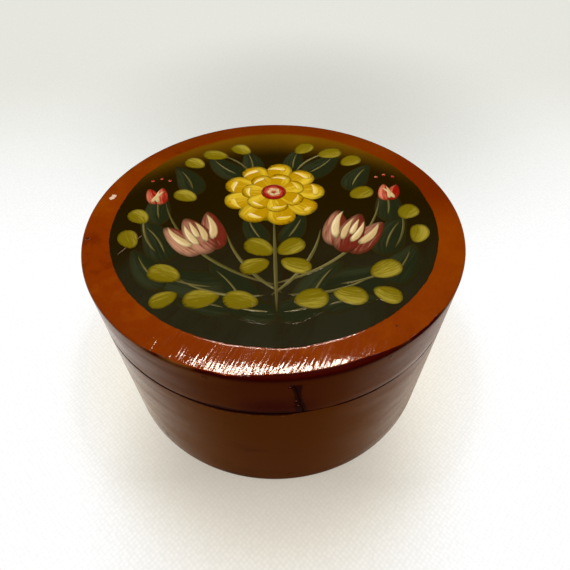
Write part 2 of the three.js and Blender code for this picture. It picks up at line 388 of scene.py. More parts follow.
def around(angle, radius, height=0.0):
    """The place at an angle about Z, a radius and a height."""
    return Vector((radius * math.cos(angle), radius * math.sin(angle), height))


def ellipse_arc(middle_radius, middle_height, reach, rise, start, end):
    """Points of radius and height on an elliptical arc from one angle to another, in degrees."""
    points = []
    for i in range(ARC_STEPS + 1):
        angle = math.radians(start + (end - start) * i / ARC_STEPS)
        points.append((middle_radius + reach * math.cos(angle), middle_height + rise * math.sin(angle)))
    return points


def straight(radius, low, high):
    """Points up or down a straight side, without its ends."""
    count = max(1, round(abs(high - low) / SIDE_STEP))
    return [(radius, low + (high - low) * i / count) for i in range(1, count)]


def extrude(x, y, z):
    """Extrudes what is selected by a distance."""
    bpy.ops.mesh.extrude_region_move(TRANSFORM_OT_translate={"value": (x, y, z)})


def draw_rings(points):
    """Extrudes the selected ring from point to point of an outline of radius and height."""
    for (radius, height), (next_radius, next_height) in zip(points, points[1:]):
        extrude(0, 0, next_height - height)
        factor = next_radius / radius
        bpy.ops.transform.resize(value=(factor, factor, 1), center_override=(0, 0, 0))


def face_outwards():
    """Turns all faces outwards and leaves edit mode."""
    select_all()
    bpy.ops.mesh.normals_make_consistent(inside=False)
    mode("OBJECT")


def turned(name, outline, closed=True):
    """A shape turned about Z: a ring, extruded from point to point of an outline of radius and height.
    A closed outline runs back to its first point. An open one starts and ends in a filled middle."""
    deselect()
    radius, height = outline[0]
    bpy.ops.mesh.primitive_circle_add(vertices=ROUND_STEPS, radius=radius, location=(0, 0, height))
    piece = bpy.context.object
    piece.name = name
    mode("EDIT")
    select_all()
    draw_rings(outline + (outline[:1] if closed else []))
    select_all()
    bpy.ops.mesh.remove_doubles(threshold=0.002 * MM)
    if not closed:
        bpy.ops.mesh.fill_holes(sides=0)
    face_outwards()
    place_in_mesh(piece)
    return piece


def seam_opening(angle):
    """How far the seam stands open at an angle, from 0 to 1. Paint has closed it in two places."""
    opening = 0.85 + 0.4 * noise.noise(around(angle, 3, 0.5))
    for middle, half in SEAM_CLOSED:
        away = (math.degrees(angle) - middle) / half
        opening -= 0.85 * math.exp(-(away ** 4))
    return min(1.0, max(0.05, opening))


def ease_seam(piece, radius, height, ease):
    """Rounds the outer edge at the seam, by more where the seam stands open."""
    mesh = piece.data
    weights = mesh.attributes.new("bevel_weight_edge", "FLOAT", "EDGE")
    for edge in mesh.edges:
        ends = [mesh.vertices[i].co for i in edge.vertices]
        if all(abs(end.z - height) < 0.01 * MM and end.xy.length > radius - 0.01 * MM for end in ends):
            middle = (ends[0] + ends[1]) / 2
            weights.data[edge.index].value = seam_opening(math.atan2(middle.y, middle.x))
    modify(piece, "BEVEL", limit_method="WEIGHT", width=ease, segments=3, profile=0.6)
    # The points at the open seam carry how strongly the seam's painted shade darkens them.
    dirt = piece.data.attributes.new("dirt", "FLOAT", "POINT")
    for vertex in piece.data.vertices:
        spot = vertex.co
        if abs(spot.z - height) < 1.2 * ease and radius - 2 * ease < spot.xy.length < radius - 0.02 * MM:
            dirt.data[vertex.index].value = seam_opening(math.atan2(spot.y, spot.x))


def waver(piece, amount):
    """Makes a hand-bent shape slightly uneven."""
    texture = bpy.data.textures.new(piece.name + "_waver", "CLOUDS")
    texture.noise_scale = 45 * MM
    texture.noise_depth = 2
    modify(piece, "DISPLACE", texture=texture, texture_coords="LOCAL", strength=amount, mid_level=0.5)
    bpy.data.textures.remove(texture)


def smooth(piece, degrees=32):
    """Shades a piece smoothly, apart from its sharp edges."""
    select_only(piece)
    bpy.ops.object.shade_smooth_by_angle(angle=math.radians(degrees))


def lap_corners(inner, outer, sizes, lap_length):
    """Corners, as angle and radius, of what parts two lapped ends seen from above: a groove in the outer
    face, a thin sloping glue line and a groove in the inner face."""
    tip = min(sizes.lap_tip, (outer - inner) * 0.25)
    sweep = lap_length / outer
    line = sizes.glue_line / 2
    half = line + (sizes.groove_width / 2 - line) * (tip + OVERCUT) / tip
    slope = outer - inner - 2 * tip
    shares = [i / LAP_STEPS for i in range(LAP_STEPS + 1)]
    corners = [(half / outer, outer + OVERCUT), (line / outer, outer - tip)]
    corners += [(-sweep * share, outer - tip - line - slope * share) for share in shares[1:]]
    corners += [(-sweep, inner - OVERCUT), (-sweep - half / inner, inner - OVERCUT)]
    corners += [(-sweep * share - line / outer, outer - tip + line - slope * share) for share in shares[::-1]]
    return corners + [(-half / outer, outer + OVERCUT)]


def lap_cutter(lap, inner, outer, low, high, sizes, lap_length):
    """What parts two lapped ends, drawn from above, raised over the hoop's height and leaned by a twist."""
    places = [around(*corner) for corner in lap_corners(inner, outer, sizes, lap_length)]
    deselect()
    bpy.ops.mesh.primitive_plane_add(size=1 * MM, location=(0, 0, 0))
    cutter = bpy.context.object
    mode("EDIT")
    select_all()
    bpy.ops.mesh.merge(type="CENTER")
    bpy.ops.transform.translate(value=places[0])
    for place, next_place in zip(places, places[1:]):
        bpy.ops.mesh.extrude_vertices_move(TRANSFORM_OT_translate={"value": next_place - place})
    select_all()
    bpy.ops.mesh.edge_face_add()
    for _ in range(LAP_LEVELS):
        extrude(0, 0, (high - low) / LAP_LEVELS)
    face_outwards()
    lean = sizes.lap_lean / outer
    modify(cutter, "SIMPLE_DEFORM", deform_method="TWIST", deform_axis="Z", angle=-lean)
    for vertex in cutter.data.vertices:
        sway = noise.noise(Vector((0.0, 0.0, vertex.co.z / (4 * MM)))) * sizes.lap_sway / outer
        vertex.co = Matrix.Rotation(sway, 3, "Z") @ vertex.co
    cutter.data.transform(Matrix.Translation((0, 0, low)) @ Matrix.Rotation(lap + lean / 2, 4, "Z"))
    return cutter


def cut(piece, cutter):
    """Takes one solid away from a piece."""
    modify(piece, "BOOLEAN", object=cutter, operation="DIFFERENCE", solver="EXACT")
    bpy.data.objects.remove(cutter)
    if not piece.data.polygons:
        raise RuntimeError(f"nothing is left of {piece.name} after a cut")


def nodes_named(start):
    """The frame's nodes whose names start with these words, in order."""
    return sorted(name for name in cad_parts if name.startswith(start))


def bearing(node):
    """The angle about Z and the height of a small node's middle."""
    low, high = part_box(node)
    middle = (low + high) / 2
    return math.atan2(middle.y, middle.x), middle.z


def rod(radius, depth, middle, tilt=math.pi / 2, turn=0.0, steps=HOLE_STEPS):
    """A round rod, tilted to lie along X and then turned about Z."""
    deselect()
    bpy.ops.mesh.primitive_cylinder_add(
        vertices=steps, radius=radius, depth=depth, location=middle, rotation=(0, tilt, turn),
    )
    return bpy.context.object


def drill(piece, start, radius, inner, outer):
    """Drills a radial hole, from one radius to another, for each node whose name starts with these words."""
    bits = []
    for node in nodes_named(start):
        angle, height = bearing(node)
        middle = around(angle, (inner + outer) / 2, height)
        bits.append(rod(radius, outer - inner, middle, turn=angle))
    joined = join(bits)
    place_in_mesh(joined)
    cut(piece, joined)


def select_end(piece, way):
    """Selects the face that lies furthest along X, or against X where the way is negative. Starts and
    ends in edit mode."""
    bpy.ops.mesh.select_all(action="DESELECT")
    mode("OBJECT")
    face = max(piece.data.polygons, key=lambda face: way * face.center.x)
    face.select = True
    mode("EDIT")


def finish_piece(piece, body, slot, material, *nodes):
    """Gives a piece its material, the body it rides on and the nodes that it stands for. The slot is not
    used.
    """
    piece.data.materials.clear()
    piece.data.materials.append(material)
    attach(piece, body)
    if nodes:
        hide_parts(*nodes)


def set_copies(model, body, start, ending, slot, material):
    """Sets a copy of a model, with its own mesh, at each node whose name starts with these words."""
    for node in nodes_named(start):
        angle, height = bearing(node)
        copied = model.copy()
        copied.data = model.data.copy()
        copied.name = node + ending
        bpy.context.scene.collection.objects.link(copied)
        copied.data.transform(Matrix.Translation((0, 0, height)) @ Matrix.Rotation(angle, 4, "Z"))
        finish_piece(copied, body, slot, material, node)


# Node trees


class Signal:
    """What an output of a node puts out. Sums, differences, products and abs() of it add Math nodes, and
    so does a number divided by it."""

    def __init__(self, socket):
        self.socket = socket
        self.tree = socket.id_data

    def __add__(self, other):
        return maths("ADD", self, other)

    def __radd__(self, other):
        return maths("ADD", other, self)

    def __sub__(self, other):
        return maths("SUBTRACT", self, other)

    def __rsub__(self, other):
        return maths("SUBTRACT", other, self)

    def __mul__(self, other):
        return maths("MULTIPLY", self, other)

    def __rmul__(self, other):
        return maths("MULTIPLY", other, self)

    def __rtruediv__(self, other):
        return maths("DIVIDE", other, self)

    def __abs__(self):
        return maths("ABSOLUTE", self)


def give(node, inputs):
    """Links signals to a node's inputs, by name or number, and sets the other values."""
    for key, value in inputs.items():
        if isinstance(value, Signal):
            value.tree.links.new(value.socket, node.inputs[key])
        else:
            node.inputs[key].default_value = value


def add(tree, kind, inputs=None, **settings):
    """Adds a node with these settings and inputs."""
    node = tree.nodes.new(kind)
    node.location = (190 * (len(tree.nodes) // 4), -220 * (len(tree.nodes) % 4))
    for name, value in settings.items():
        setattr(node, name, value)
    give(node, inputs or {})
    return node


def take(tree, kind, inputs, output=0, **settings):
    """Adds a node and takes one of its outputs."""
    return Signal(add(tree, kind, inputs, **settings).outputs[output])


def tree_of(values):
    """The node tree of the first of these values that is a signal."""
    return next(value.tree for value in values if isinstance(value, Signal))


def maths(operation, *values):
    """The result of a Math node."""
    return take(tree_of(values), "ShaderNodeMath", dict(enumerate(values)), operation=operation)


def vectors(operation, *values, output="Vector"):
    """The result of a Vector Math node."""
    inputs = dict(enumerate(values))
    return take(tree_of(values), "ShaderNodeVectorMath", inputs, output, operation=operation)


def distance(vector, place):
    """How far a vector is from a place."""
    return vectors("DISTANCE", vector, place, output="Value")


def stretched(vector, factors):
    """A vector whose parts are each multiplied by a factor."""
    return vectors("MULTIPLY", vector, factors)


def radius_of(place):
    """A point's distance from the Z axis."""
    return vectors("LENGTH", stretched(place, (1.0, 1.0, 0.0)), output="Value")


def split(vector):
    """X, Y and Z of a vector."""
    return [Signal(part) for part in add(vector.tree, "ShaderNodeSeparateXYZ", {0: vector}).outputs]


def step(value, start, end):
    """0 at the start value, 1 at the end value, and smooth between them."""
    inputs = {"Value": value, "From Min": start, "From Max": end}
    return take(value.tree, "ShaderNodeMapRange", inputs, interpolation_type="SMOOTHSTEP")


def blend(factor, first, second):
    """The first colour where the factor is 0 and the second where it is 1."""
    return take(factor.tree, "ShaderNodeMix", {0: factor, 6: first, 7: second}, 2, data_type="RGBA")


def clouds(vector, scale, detail=3.0, roughness=0.55, distortion=0.0):
    """A noise value around a half."""
    return take(vector.tree, "ShaderNodeTexNoise", {
        "Vector": vector, "Scale": scale, "Detail": detail, "Roughness": roughness,
        "Distortion": distortion,
    }, "Fac")


def wander(vector, scale, detail, reach):
    """A noise value around 0, which goes about a third of the reach to both sides."""
    return (clouds(vector, scale, detail) - 0.5) * reach


def mapped(vector, turn=0.0, size=(1, 1, 1), shift=(0, 0, 0)):
    """A vector moved, turned about Z and then stretched."""
    for inputs in ({"Location": shift}, {"Rotation": (0, 0, turn)}, {"Scale": size}):
        vector = take(vector.tree, "ShaderNodeMapping", {"Vector": vector, **inputs})
    return vector


def attribute(tree, name):
    """A value that the mesh carries."""
    return take(tree, "ShaderNodeAttribute", {}, "Fac", attribute_name=name)


def use_group(name, **inputs):
    """Places a shared group, and returns what it puts out by name."""
    node = add(tree_of(inputs.values()), "ShaderNodeGroup", node_tree=bpy.data.node_groups[name])
    give(node, {key.capitalize(): value for key, value in inputs.items()})
    return {output.name: Signal(output) for output in node.outputs}


def spot(vector, place, radius, ragged):
    """A ragged round spot: a chip, a dent or a stain."""
    rag = (clouds(vector, 900.0) - 0.5) * ragged * radius
    return [step(distance(vector, place) + rag * 4.0, radius, radius * 0.85)]


def scratch(vector, long, wide):
    """A thin straight scratch, about X of the vector that comes in."""
    along, across, _ = split(vector)
    half = long * 0.5
    thin = step(abs(across + wander(vector, 90.0, 3.0, 2 * MM)), wide, 0.0)
    return [thin * step(abs(along), half, half * 0.7)]


def specks(vector, spacing, size, share):
    """Scattered specks of dust or tiny chips."""
    cells = add(vector.tree, "ShaderNodeTexVoronoi", {"Vector": vector, "Scale": 1.0 / spacing}).outputs
    chance = add(vector.tree, "ShaderNodeSeparateColor", {0: Signal(cells["Color"])}).outputs
    size = size * (Signal(chance["Green"]) + 0.35)
    dot = step(Signal(cells["Distance"]), size, size * 0.6)
    return [dot * maths("LESS_THAN", Signal(chance["Red"]), share)]


def ridges(vector, spacing, blobs):
    """Ridges that a brush leaves in varnish. They run along Y of the vector that comes in."""
    scale = 1.0 / spacing
    drawn = stretched(vector, (1.0, 0.09, 1.0))
    coarse = clouds(drawn, scale, 1.0, 0.5, 0.25)
    fine = clouds(drawn, scale * 2.6, 2.0)
    return [coarse + fine * 0.15 + clouds(vector, scale * 0.7, 1.0, 0.5, 0.6) * blobs]


def mottle(vector, scale, main, thin, thick):
    """Paint that covers unevenly: a main colour with a thinner and a thicker one in patches."""
    patches = clouds(vector, scale, 4.0, 0.6, 0.4)
    height = patches + (clouds(vector, scale * 5.0, 3.0, 0.6) - 0.5) * 0.35
    tone = blend(step(height, 0.5, 0.66), main, thin)
    return [blend(step(height, 0.48, 0.3), tone, thick), height]


def grain(vector, spacing, pale, dark):
    """Wood grain along X of the vector that comes in."""
    scale = 1.0 / spacing
    rings = stretched(vector, (0.06, 1.0, 1.0))
    sway = (clouds(rings, scale * 0.35, 2.0) - 0.5) * (spacing * 5.0)
    _, across, up = split(rings)
    phase = maths("FRACT", (across + up + sway) * scale)
    ring = step(phase, 0.1, 0.86) * step(phase, 1.0, 0.88)
    fibres = clouds(stretched(vector, (0.02, 1.0, 1.0)), scale * 7.0, 3.0, 0.65)
    return [blend(ring * 0.6 + fibres * 0.5, pale, dark), ring * -0.4 + fibres]


def streaks(vector, own_shade, base, light, under):
    """Paint dragged by a brush along X. Each stroke has its own shade from 0 to 1, and what lies under
    it shows through at its thin edge."""
    along, across, _ = split(vector)
    seed = own_shade * 37.0
    bowed = across + (along - 0.5) * (along - 0.5) * 0.5
    drawn = {"X": along * 1.5 + seed, "Y": bowed * 11.0, "Z": seed}
    dragged = clouds(take(vector.tree, "ShaderNodeCombineXYZ", drawn), 1.0, 4.0, 0.7, 0.25)
    lit = dragged + (step(across, 0.15, 0.95) - 0.5) * 0.26 + (own_shade - 0.5) * 0.16
    paint = blend(step(lit, 0.4, 0.74), base, light)
    thin = distance(vector, (0.5, 0.5, 0.0)) + (dragged - 0.5) * 0.34
    return [blend(step(thin, 0.38, 0.53) * 0.8, paint, under), dragged]


# Each shared group: how it is built, its inputs with their defaults, and its outputs
WHITE = (1, 1, 1, 1)
BLACK = (0, 0, 0, 1)
GROUPS = {
    "Spot": (spot, {"Vector": None, "Place": (0, 0, 0), "Radius": 1 * MM, "Ragged": 0.3}, ["Mask"]),
    "Scratch": (scratch, {"Vector": None, "Length": 10 * MM, "Width": 0.3 * MM}, ["Mask"]),
    "Specks": (specks, {"Vector": None, "Spacing": 6 * MM, "Size": 0.06, "Share": 0.4}, ["Mask"]),
    "Brush ridges": (ridges, {"Vector": None, "Spacing": 1.4 * MM, "Blobs": 0.4}, ["Height"]),
    "Mottled paint": (
        mottle, {"Vector": None, "Scale": 30.0, "Main": WHITE, "Thin": WHITE, "Thick": BLACK},
        ["Colour", "Height"],
    ),
    "Wood grain": (
        grain, {"Vector": None, "Spacing": 3 * MM, "Pale": WHITE, "Dark": BLACK}, ["Colour", "Height"],
    ),
    "Brush streaks": (
        streaks, {"Vector": None, "Shade": 0.5, "Base": BLACK, "Light": WHITE, "Under": BLACK},
        ["Colour", "Height"],
    ),
}


def make_groups():
    """Makes every shared group once. An input with no default, or with three numbers, is a vector."""
    for name, (build, takes, gives) in GROUPS.items():
        if name in bpy.data.node_groups:
            continue
        tree = bpy.data.node_groups.new(name, "ShaderNodeTree")
        for label, default in takes.items():
            kind = "Color" if default in (WHITE, BLACK) else "Vector"
            kind = "Float" if isinstance(default, float) else kind
            socket = tree.interface.new_socket(label, in_out="INPUT", socket_type="NodeSocket" + kind)
            if default is not None:
                socket.default_value = default
        for label in gives:
            kind = "Color" if label == "Colour" else "Float"
            tree.interface.new_socket(label, in_out="OUTPUT", socket_type="NodeSocket" + kind)
        comes = tree.nodes.new("NodeGroupInput").outputs
        made = build(*(Signal(comes[label]) for label in takes))
        give(tree.nodes.new("NodeGroupOutput"), dict(zip(gives, made)))


# Materials


def new_material(name):
    """An empty material with its shader, and the object coordinates that its patterns read."""
    material = bpy.data.materials.new(name)
    material.use_nodes = True
    tree = material.node_tree
    tree.nodes.clear()
    shader = add(tree, "ShaderNodeBsdfPrincipled")
    add(tree, "ShaderNodeOutputMaterial", {"Surface": Signal(shader.outputs[0])})
    return material, shader, take(tree, "ShaderNodeTexCoord", {}, "Object")


def dress(shader, colour_from, roughness, height, depth):
    """Gives a material's shader its colour, roughness and relief."""
    bump = take(height.tree, "ShaderNodeBump", {"Height": height, "Distance": depth, "Strength": 1.0})
    give(shader, {"Base Color": colour_from, "Roughness": roughness, "Normal": bump})


def full_varnish(shader, tone, dragged, height):
    """Dresses a surface in clear varnish, which is a little rougher where the brush dragged."""
    give(shader, {"IOR": VARNISH_IOR})
    dress(shader, tone, VARNISH_ROUGHNESS + dragged * STREAK_ROUGHNESS, height, RELIEF)


def side_varnish(shader, place, sizes, paints, covered=0.0):
    """Old varnish on the sides: a warm bloom all over, and a thin clear coat towards the sides only,
    because hands have worn it off the front. Covered parts have no coat."""
    radius = sizes.outer_radius
    across = split(place)[0]
    aside = abs(across) + clouds(place, 26.0) * (0.3 * radius)
    runs = step(clouds(mapped(place, size=(0.12, 0.12, 1.0)), 150.0, 4.0, 0.65), 0.36, 0.62)
    right = step(across, 0.58 * radius, 0.82 * radius)
    coat = step(aside, 0.38 * radius, 0.96 * radius) * (0.6 + runs * 0.5)
    coat = coat * (1.0 - right * 0.6) * (1.0 - covered)
    give(shader, {
        "Coat Weight": maths("MINIMUM", coat, 1.0), "Coat IOR": SIDE_COAT_IOR,
        "Coat Roughness": SIDE_COAT_ROUGHNESS, "IOR": PAINT_IOR, "Sheen Weight": SIDE_BLOOM,
        "Sheen Roughness": 0.3, "Sheen Tint": paints.bloom,
    })


def wall_paint(place, sizes, paints, main):
    """Colour and height of the brushed paint on a hoop's side, with a painted sheen that makes it lighter
    towards the left and right.
    """
    radius = sizes.outer_radius
    brushed = use_group(
        "Mottled paint", vector=mapped(place, size=(0.22, 0.22, 1.0)), scale=70.0, main=main, thin=main,
        thick=paints.side_dark,
    )
    tone = blend(step(clouds(place, 16.0), 0.25, 0.55), brushed["Colour"], main)
    fibres = clouds(mapped(place, size=(0.1, 0.1, 1.0)), 500.0, 4.0, 0.65)
    # Painted sheen: the paint is lighter towards the left and right sides.
    painted_light = step(abs(split(place)[0]), 0.08 * radius, 0.7 * radius) * (0.3 + fibres * 0.5)
    tone = blend(painted_light, tone, paints.painted_sheen)
    angle, height = bearing("base_peg_1")
    bare_peg = around(angle, radius, height)
    stain_and_shade = use_group("Spot", vector=place, place=bare_peg, radius=1.7 * MM, ragged=0.2)["Mask"]
    runs = clouds(mapped(place, size=(0.16, 0.16, 1.0)), 150.0, 3.0, 0.6, 0.4)
    return blend(stain_and_shade, tone, paints.peg), brushed["Height"] + fibres * 0.4 + runs * 3.0


def seam_shade_and_glints(place, sizes, paints, tone):
    """Painted shade beside the seam: a thick ragged dark line left of the lap with painted glints under it,
    none where paint has closed the seam, and elsewhere a thin line that is wider at the far left. Returns
    the colour and the painted shade's mask."""
    radius, hair = sizes.outer_radius, sizes.hair_line
    across, along, up = split(place)
    ragged = clouds(mapped(place, size=(0.35, 0.35, 1.0)), 330.0, 3.0, 0.6)
    from_seam = abs(up - sizes.seam_height) + (ragged - 0.5) * (2 * MM)
    left = step(across, -0.5 * radius, -0.2 * radius) * step(across, 0.1 * radius, 0.02 * radius)
    left = left * step(along, 0.0, -0.1 * radius)
    far_left = step(across, -0.4 * radius, -0.6 * radius)
    reach = hair + left * (sizes.seam_shade_line - hair) + far_left * hair
    angle = maths("ARCTAN2", along, across)
    for middle, half in SEAM_CLOSED:
        closed = step(abs(angle - math.radians(middle)), math.radians(half + 1), math.radians(half - 1))
        reach = reach - closed * (hair + 1 * MM)
    beyond = from_seam - reach
    # Painted glints: lighter paint in spots just under the thick dark line.
    painted_light = step(beyond, -0.3 * MM, 0.1 * MM) * step(beyond, 0.8 * MM, 0.3 * MM) * left
    painted_light = painted_light * step(clouds(place, 420.0, 2.0), 0.5, 0.62) * maths("LESS_THAN", up, sizes.seam_height)
    # Painted shade: the dark line where shade falls in the seam.
    seam_shade = step(beyond, 0.2 * MM, -0.35 * MM) * 0.9
    return blend(seam_shade, blend(painted_light * 0.55, tone, paints.painted_sheen), paints.crevice), seam_shade


def unpainted_inside(place, sizes, paints, tone, covered=0.0):
    """Painted shade in the seams and grooves, then bare wood on the inner faces, except where paint covers
    them. Returns the colour, and how dull the surface is."""
    surface = sizes.outer_radius - sizes.paint_room
    away = radius_of(place)
    # Painted shade: the seam's rounded edges and everything a little below the hoop's face, such as the
    # grooves, are darkened.
    dirt = step(attribute(place.tree, "dirt"), 0.1, 0.5)
    deep = maths("MAXIMUM", step(away, surface - 0.16 * MM, surface - 0.5 * MM), dirt) * (1.0 - covered)
    inside = step(away, surface - 1.25 * MM, surface - 1.7 * MM) * (1.0 - covered)
    wood = use_group(
        "Wood grain", vector=mapped(place, size=(0.3, 0.3, 1.0)), spacing=2.4 * MM,
        pale=paints.wood_pale, dark=paints.wood_dark,
    )
    tone = blend(inside, blend(deep, tone, paints.crevice), wood["Colour"])
    return tone, maths("MAXIMUM", deep, inside)


def border_paint(place, sizes, paints):
    """Colour, height and dullness of the lid's orange brown border, with its few marks."""
    radius, top = sizes.outer_radius, sizes.box_height
    across, along, _ = split(place)
    tone = use_group(
        "Mottled paint", vector=place, scale=34.0, main=paints.border, thin=paints.border_warm,
        thick=paints.border_dark,
    )["Colour"]
    tone = blend(step(across, 0.1 * radius, 0.9 * radius) * 0.55, tone, paints.border_warm)
    tone = blend(step(along, 0.1 * radius, 0.95 * radius) * 0.75, tone, paints.border_far)
    from_patch = distance(place, (DARK_PATCH[0] * radius, DARK_PATCH[1] * radius, top))
    tone = blend(step(from_patch, PATCH_END, PATCH_FULL), tone, paints.border_dark)
    chips = 0.0
    for x, y, size, paint in BORDER_MARKS:
        middle = (x * radius, y * radius, top - 0.1 * MM)
        mark = use_group("Spot", vector=place, place=middle, radius=size, ragged=0.22)["Mask"]
        tone = blend(mark, tone, getattr(paints, paint))
        chips = mark + chips
    brushed = mapped(place, turn=BRUSH_TURN)
    raised = use_group("Brush ridges", vector=brushed, spacing=1.15 * MM, blobs=0.14)["Height"]
    drags = mapped(place, turn=BRUSH_TURN, size=(1.0, 0.12, 1.0))
    dull = step(clouds(drags, 620.0, 2.0, 0.6), 0.47, 0.62)
    dust = use_group("Specks", vector=place, spacing=9 * MM, size=0.04, share=0.2)["Mask"]
    return blend(dust, tone, paints.chip), raised + dust - chips * 1.5, dull


def material_wall(sizes, paints):
    """Brown varnished paint of the wall with painted shade at the foot and the seam, and bare wood where it
    was never painted.
    """
    material, shader, place = new_material("Wall paint")
    tone, height = wall_paint(place, sizes, paints, paints.side)
    tone, seam_shade = seam_shade_and_glints(place, sizes, paints, tone)
    # Painted shade: a dark line along the foot, where the wall meets the floor.
    foot = step(split(place)[2], 1.6 * sizes.foot_shade_line, sizes.foot_shade_line)
    tone = blend(foot * 0.75, tone, paints.crevice)
    tone, dull = unpainted_inside(place, sizes, paints, tone)
    side_varnish(shader, place, sizes, paints, maths("MAXIMUM", foot, seam_shade))
    dress(shader, tone, 0.25 + dull * 0.4, height, SIDE_RELIEF)
    return material


def lap_paint(place, sizes, paints, tone):
    """Dark red to the left of the lid's lap, and a band of painted shade along its cut end."""
    radius, top, stain_and_shade = sizes.outer_radius - sizes.paint_room, sizes.box_height, sizes.lap_shade_band
    _, along, up = split(place)
    reddest = around(LID_LAP, radius, sizes.seam_height + 3 * MM) - Vector((2 * sizes.lap_lean, 0, 0))
    from_red = distance(stretched(place, LONG_SPOT), reddest * LONG_SPOT)
    tone = blend(step(from_red, 14 * MM, 3 * MM) * 0.8, tone, paints.lap_red)
    # Painted shade: a dark band along the lap's cut end, where its step throws shade.
    beside = vectors("DOT_PRODUCT", place, (-math.sin(LID_LAP), math.cos(LID_LAP), 0.0), output="Value")
    above = up - 0.5 * (top + sizes.seam_height)
    lean = 0.7 * sizes.lap_lean / (top - sizes.seam_height)
    from_cut = abs(beside + above * lean + 0.2 * stain_and_shade + wander(place, 260.0, 3.0, 1.6 * MM))
    from_cut = from_cut - step(abs(above), 2 * MM, 9 * MM) * (0.3 * stain_and_shade)
    start = top - sizes.lap_start
    band = step(from_cut, 0.75 * stain_and_shade, 0.4 * stain_and_shade) * step(up, start + 0.5 * MM, start - 1.5 * MM)
    return blend(band * step(along, 0.0, -20 * MM) * 0.95, tone, paints.crevice)


def material_rim(name, sizes, paints, varnished):
    """Paint of the lid's hoop: a redder brown side, the border's orange on top, and a dark red line
    between them that widens beside the lap. At the sides there is no such line, and the orange runs over
    the edge. Only the top keeps its full varnish."""
    material, shader, place = new_material(name)
    radius, surface, top = sizes.outer_radius, sizes.outer_radius - sizes.paint_room, sizes.box_height
    across, along, up = split(place)
    side, side_height = wall_paint(place, sizes, paints, paints.side_red)
    # Painted highlight: the lid's side is lighter near its top on the left.
    glow = step(up, top - 9 * MM, top - 1 * MM) * step(across, -0.1 * radius, -0.6 * radius)
    side = lap_paint(place, sizes, paints, blend(glow * 0.6, side, paints.painted_sheen))
    side, seam_shade = seam_shade_and_glints(place, sizes, paints, side)
    aside = step(abs(across - 0.1 * radius), 0.58 * radius, 0.75 * radius)
    aside = aside * step(along, 0.1 * radius, -0.1 * radius)
    covered = step(up, top - 2.0 * MM, top - 1.4 * MM) * (1.0 - aside)
    side, dull = unpainted_inside(place, sizes, paints, side, covered)
    border, border_height, dragged = border_paint(place, sizes, paints)
    inward = (surface - top) - (radius_of(place) - up) + wander(place, 170.0, 3.0, 1.3 * MM)
    beside_lap = distance(place, around(RIM_SMEAR, surface, top))
    smear = step(beside_lap, SMEAR_END, SMEAR_FULL) * (sizes.rim_smear - sizes.rim_line)
    orange = inward - sizes.rim_line - smear + aside * (sizes.rim_line + 0.9 * MM)
    orange = step(orange, -0.25 * MM, 0.3 * MM)
    broken = step(clouds(place, 34.0, 2.0), 0.36, 0.5)
    line = maths("MAXIMUM", step(beside_lap, 60 * MM, 30 * MM), broken)
    line = step(inward, -3.4 * MM, -0.4 * MM) * line * (1.0 - aside)
    tone = blend(orange, blend(line, side, paints.rim_red), border)
    height = take(place.tree, "ShaderNodeMix", {0: orange, 2: side_height, 3: border_height})
    if varnished:
        full_varnish(shader, tone, dragged, height)
    else:
        side_varnish(shader, place, sizes, paints, maths("MAXIMUM", covered, seam_shade))
        dress(shader, tone, 0.25 + dull * 0.4, height, SIDE_RELIEF)
    return material


def disc_paint(place, middle, sizes, paints):
    """Brown-black paint of the disc, with a grey green glaze on its near half and an olive glow along
    its far edge."""
    radius = sizes.outer_radius
    along = split(place)[1]
    glaze = clouds(mapped(place, turn=BRUSH_TURN, size=(1.0, 0.35, 1.0)), 40.0, 4.0, 0.6)
    haze = step(along, 0.15 * radius, -0.65 * radius) * step(glaze, 0.25, 0.6)
    bowl = vectors("LENGTH", stretched(middle, (0.75, 1.0, 0.0)), output="Value")
    glow = step(bowl, 0.58 * radius, 0.86 * radius) * step(along, 0.1 * radius, 0.6 * radius)
    tone = blend(haze, paints.disc, paints.disc_haze)
    return blend(glow * (0.6 + glaze * 0.75), tone, paints.disc_olive)


def material_lid(sizes, paints):
    """The lid board: orange border and the dark disc with a hand-drawn edge."""
    material, shader, place = new_material("Lid paint")
    radius = sizes.outer_radius
    along = split(place)[1]
    border, border_height, dragged = border_paint(place, sizes, paints)
    middle = vectors("SUBTRACT", place, (0.001 * radius, 0.008 * radius, 0.0))
    edge = radius_of(middle) + (wander(place, 18.0, 2.0, 4.2 * MM) + wander(place, 240.0, 2.0, 0.8 * MM))
    edge = edge - sizes.disc_radius
    softness = 0.15 * MM + step(along, 0.35 * radius, 0.75 * radius) * (1.8 * MM)
    inside = step(edge, softness, softness * -1.0)
    ridge = step(edge, 0.7 * MM, 0.0) * step(edge, -0.7 * MM, 0.0) * step(along, -0.3 * radius, -0.6 * radius)
    tone = blend(inside, border, disc_paint(place, middle, sizes, paints))
    shift = (SCRATCH_SHIFT[0] * radius, SCRATCH_SHIFT[1] * radius, 0.0)
    scratched = mapped(place, SCRATCH_TURN, shift=shift)
    line = use_group("Scratch", vector=scratched, length=18.5 * MM, width=0.26 * MM)["Mask"]
    dust = use_group("Specks", vector=place, spacing=13 * MM, size=0.028, share=0.4)["Mask"]
    tone = blend(maths("MAXIMUM", line * 0.35, dust * 0.55) * inside, tone, paints.chip)
    brushed = mapped(place, turn=BRUSH_TURN)
    flat = use_group("Brush ridges", vector=brushed, spacing=2.2 * MM, blobs=0.5)["Height"] * 0.35
    height = take(place.tree, "ShaderNodeMix", {0: inside, 2: border_height, 3: flat}) + ridge * 0.4
    full_varnish(shader, tone, dragged * (1.0 - inside), height)
    return material


